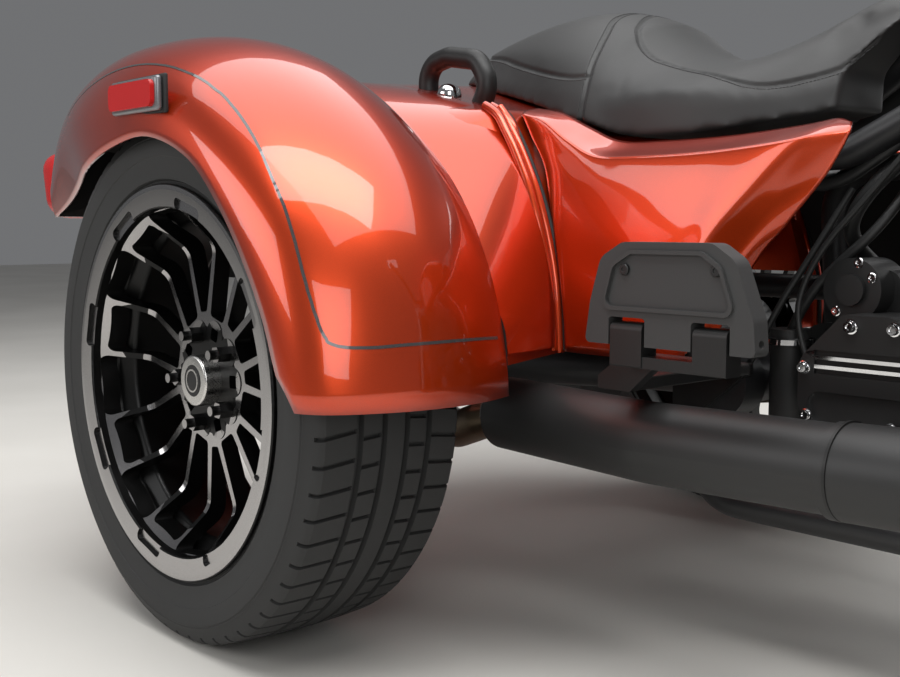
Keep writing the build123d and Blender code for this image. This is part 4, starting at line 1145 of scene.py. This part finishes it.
class TRIKE_OT_engine_details(bpy.types.Operator):
    """Bolts, bright ribs, turned fittings, hoses, mirror glasses, grips and exhaust trim"""
    bl_idname = "trike.engine_details"
    bl_label = "Engine details"

    # x, y, z, across, height of the bright bolts on the right side, all facing right.
    BOLTS = (
        (651, -200, 412, 13, 7), (596, -200, 364, 12, 7), (648, -156, 462, 9, 4), (606, -156, 424, 9, 4),
        (632, -156, 478, 9, 4), (463, -178, 340, 12, 6), (700, -200, 412, 12, 7), (600, -200, 312, 11, 6),
        (700, -200, 308, 11, 6), (770, -150, 390, 9, 5), (850, -150, 400, 9, 5), (900, -150, 330, 9, 5),
        (770, -150, 275, 9, 5), (860, -150, 270, 9, 5),
    )
    # name, place, axis, rows of radius and height, finish, node, slot, steps
    TURNED = (
        ("filler_ring", (544, -150, 382), (0, 0, 1), ((27, 0), (30, 1), (30, 7), (27, 9), (24, 9)),
         "chrome", "engine_case", "fork_alloy", 48),
        ("seat_lock_knob", (72, -262, 690), (0.2, -0.1, 1),
         ((16, -3), (17, 5), (15, 12), (11, 17), (5, 19.5), (0, 20)),
         "chrome", "trunk_body", "fork_alloy", 40),
        ("exhaust_joint", (724, -322, 285), (1, 0.034, 0.017), ((46, 0), (49.2, 0.4), (49.2, 3.6), (46, 4)),
         "gloss_black", "exhaust_right", "exhaust_black", 64),
    )
    # Clamps of the exhaust outlets: node, y and z
    CLAMPS = (("exhaust_right", -318, 279), ("exhaust_left", 322, 268))
    CLAMP = ((25, 0), (28, 1), (28, 14), (25, 15))
    # Gear cover's bright parts: distance to the right, lowest and highest place, distance ahead, in metres
    RIBS = (0.199, 0.352, 0.392, 0.604)
    RIM = (0.195, 0.3, 0.342, 0.59)
    # Hoses and cables seen behind the side cover: name, points and radius
    HOSES = (
        ("breather_hose",
         ((600, -60, 470), (590, -110, 500), (610, -130, 540), (650, -110, 590), (700, -60, 640)), 9),
        ("oil_hose",
         ((545, -150, 396), (560, -150, 430), (590, -140, 470), (640, -120, 520), (650, -90, 560)), 6),
        ("brake_hose",
         ((463, -150, 330), (500, -165, 350), (530, -160, 420), (560, -140, 480), (600, -120, 560)), 4),
        ("loom",
         ((420, -120, 560), (500, -130, 570), (580, -125, 560), (640, -118, 600), (720, -90, 660)), 7),
        ("clutch_cable",
         ((600, -168, 330), (560, -175, 400), (575, -160, 480), (640, -140, 560), (740, -110, 690)), 3.5),
    )

    def execute(self, context):
        bm = bmesh.new()
        for x, y, z, across, height in self.BOLTS:
            add_bolt(bm, at(x, y, z), (0, -1, 0), across, height)
        settle("engine_bolts", bm, "chrome", "engine_case", "fork_alloy")

        def within(centre, limits):
            out, low, high, ahead = limits
            return centre.y < -out and low < centre.z < high and centre.x > AXLE_X + ahead

        def ribs(centre, normal):
            return normal.y < -0.9 and within(centre, self.RIBS)

        def rim(centre, normal):
            return abs(normal.y) < 0.5 and within(centre, self.RIM)

        skin("gear_cover_ribs", "engine_case", ribs, "chrome", "fork_alloy")
        skin("gear_cover_rim", "engine_case", rim, "chrome", "fork_alloy", 0.1)
        for name, place, axis, rows, material, node_name, slot, steps in self.TURNED:
            turned_piece(name, at(*place), axis, rows, material, node_name, slot, steps)
        for name, points, radius in self.HOSES:
            hose(name, points, radius, "hose_rubber", "engine_case", "engine_black")

        def mirror(centre, normal):
            return normal.x < -0.7 and abs(centre.y) > 0.2 and centre.z > 1.15

        def grip(centre, normal):
            return abs(centre.y) > 0.3 and centre.z < 1.12

        skin("mirror_glasses", "handlebar", mirror, "chrome", "gloss_black")
        skin("bar_grips", "handlebar", grip, "hose_rubber", "tyre_rubber")

        def pipe_end(centre, normal):
            return (centre.x - AXLE_X) / MM < 248 and abs(centre.y / MM) < 346

        for node_name, y, z in self.CLAMPS:
            skin(node_name + "_outlet", node_name, pipe_end, "bronzed_steel", "fork_alloy", 0.4)
            turned_piece(node_name + "_clamp", at(228, y, z), (0.97, 0, 0.25), self.CLAMP, "bare_metal",
                         node_name, "fork_alloy", 40)
        return {"FINISHED"}


def area_light(name, place, target, size, power):
    """Soft rectangular lamp aimed at a point."""
    data = bpy.data.lights.new(name, "AREA")
    data.shape = "RECTANGLE"
    data.size, data.size_y = size
    data.energy = power
    lamp = bpy.data.objects.new(name, data)
    bpy.context.scene.collection.objects.link(lamp)
    lamp.location = place
    lamp.rotation_euler = (Vector(target) - Vector(place)).to_track_quat("-Z", "Y").to_euler()


class TRIKE_OT_stage(bpy.types.Operator):
    """Sets the camera at the photograph's angle, the pale floor and the studio lamps"""
    bl_idname = "trike.stage"
    bl_label = "Stage"

    # name, place and target from the rear axle, size, power
    LAMPS = (
        ("lamp_ceiling", (0.4, 0.0, 3.6), (0.4, 0.0, 0.0), (5.0, 4.0), 150.0),
        ("lamp_over", (0.9, -1.0, 2.9), (0.1, -0.3, 0.4), (2.6, 1.0), 50.0),
        ("lamp_front", (3.0, -2.6, 1.7), (0.2, -0.4, 0.4), (1.8, 1.8), 32.0),
        ("lamp_side", (-1.2, -3.4, 1.6), (0.0, -0.5, 0.4), (2.4, 1.4), 34.0),
        ("lamp_far", (0.6, 3.6, 1.9), (0.4, 0.3, 0.4), (3.0, 1.6), 45.0),
    )
    SKY = (0.62, 0.63, 0.65, 1.0)
    SKY_POWER = 0.26
    FLOOR_SIZE = 14.0

    def execute(self, context):
        s = context.scene.trike_stage
        scene = context.scene
        scene.view_settings.view_transform = "Standard"
        data = bpy.data.cameras.new("camera")
        data.sensor_width = 36.0
        data.lens = s.focal
        camera = bpy.data.objects.new("camera", data)
        scene.collection.objects.link(camera)
        camera.location = (AXLE_X + s.ahead, -s.aside, s.height)
        look = Vector((-sin(s.yaw) * cos(s.pitch), cos(s.yaw) * cos(s.pitch), -sin(s.pitch)))
        camera.rotation_euler = look.to_track_quat("-Z", "Y").to_euler()
        scene.camera = camera

        mesh = bpy.data.meshes.new("floor")
        bm = bmesh.new()
        bmesh.ops.create_grid(bm, x_segments=1, y_segments=1, size=self.FLOOR_SIZE)
        bm.to_mesh(mesh)
        bm.free()
        floor = bpy.data.objects.new("floor", mesh)
        scene.collection.objects.link(floor)
        mesh.materials.append(self.floor_material())

        world = bpy.data.worlds.new("studio")
        world.use_nodes = True
        scene.world = world
        background = world.node_tree.nodes["Background"]
        background.inputs["Color"].default_value = self.SKY
        background.inputs["Strength"].default_value = self.SKY_POWER
        for name, place, target, size, power in self.LAMPS:
            area_light(name, (AXLE_X + place[0], *place[1:]), (AXLE_X + target[0], *target[1:]), size, power)
        return {"FINISHED"}

    @staticmethod
    def floor_material():
        """Pale beige floor with a faint mottle."""
        material, tree, shader = new_material("pale_floor", {"Roughness": 0.6})
        toned(tree, shader, noise(tree, 1.4, 5.0), (0.62, 0.60, 0.56), (0.70, 0.68, 0.64), 0.3, 0.7)
        return material


class TRIKE_PT_panel(bpy.types.Panel):
    """Lists the trike's pieces in the sidebar"""
    bl_idname = "TRIKE_PT_panel"
    bl_label = "Trike"
    bl_space_type = "VIEW_3D"
    bl_region_type = "UI"
    bl_category = "Trike"

    def draw(self, context):
        for kind in OPERATORS:
            self.layout.operator(kind.bl_idname)


OPERATORS = (TRIKE_OT_finishes, TRIKE_OT_wheels, TRIKE_OT_tyres, TRIKE_OT_fenders, TRIKE_OT_body_panels,
             TRIKE_OT_seat, TRIKE_OT_lamps, TRIKE_OT_footboards, TRIKE_OT_engine_details, TRIKE_OT_stage)
CLASSES = (PaintSettings, StageSettings, *OPERATORS, TRIKE_PT_panel)


def register():
    for kind in CLASSES:
        bpy.utils.register_class(kind)
    bpy.types.Scene.trike_paint = PointerProperty(type=PaintSettings)
    bpy.types.Scene.trike_stage = PointerProperty(type=StageSettings)


def unregister():
    del bpy.types.Scene.trike_stage
    del bpy.types.Scene.trike_paint
    for kind in reversed(CLASSES):
        bpy.utils.unregister_class(kind)


def main():
    register()
    for kind in OPERATORS:
        group, name = kind.bl_idname.split(".")
        getattr(getattr(bpy.ops, group), name)()


if __name__ == "__main__":
    main()
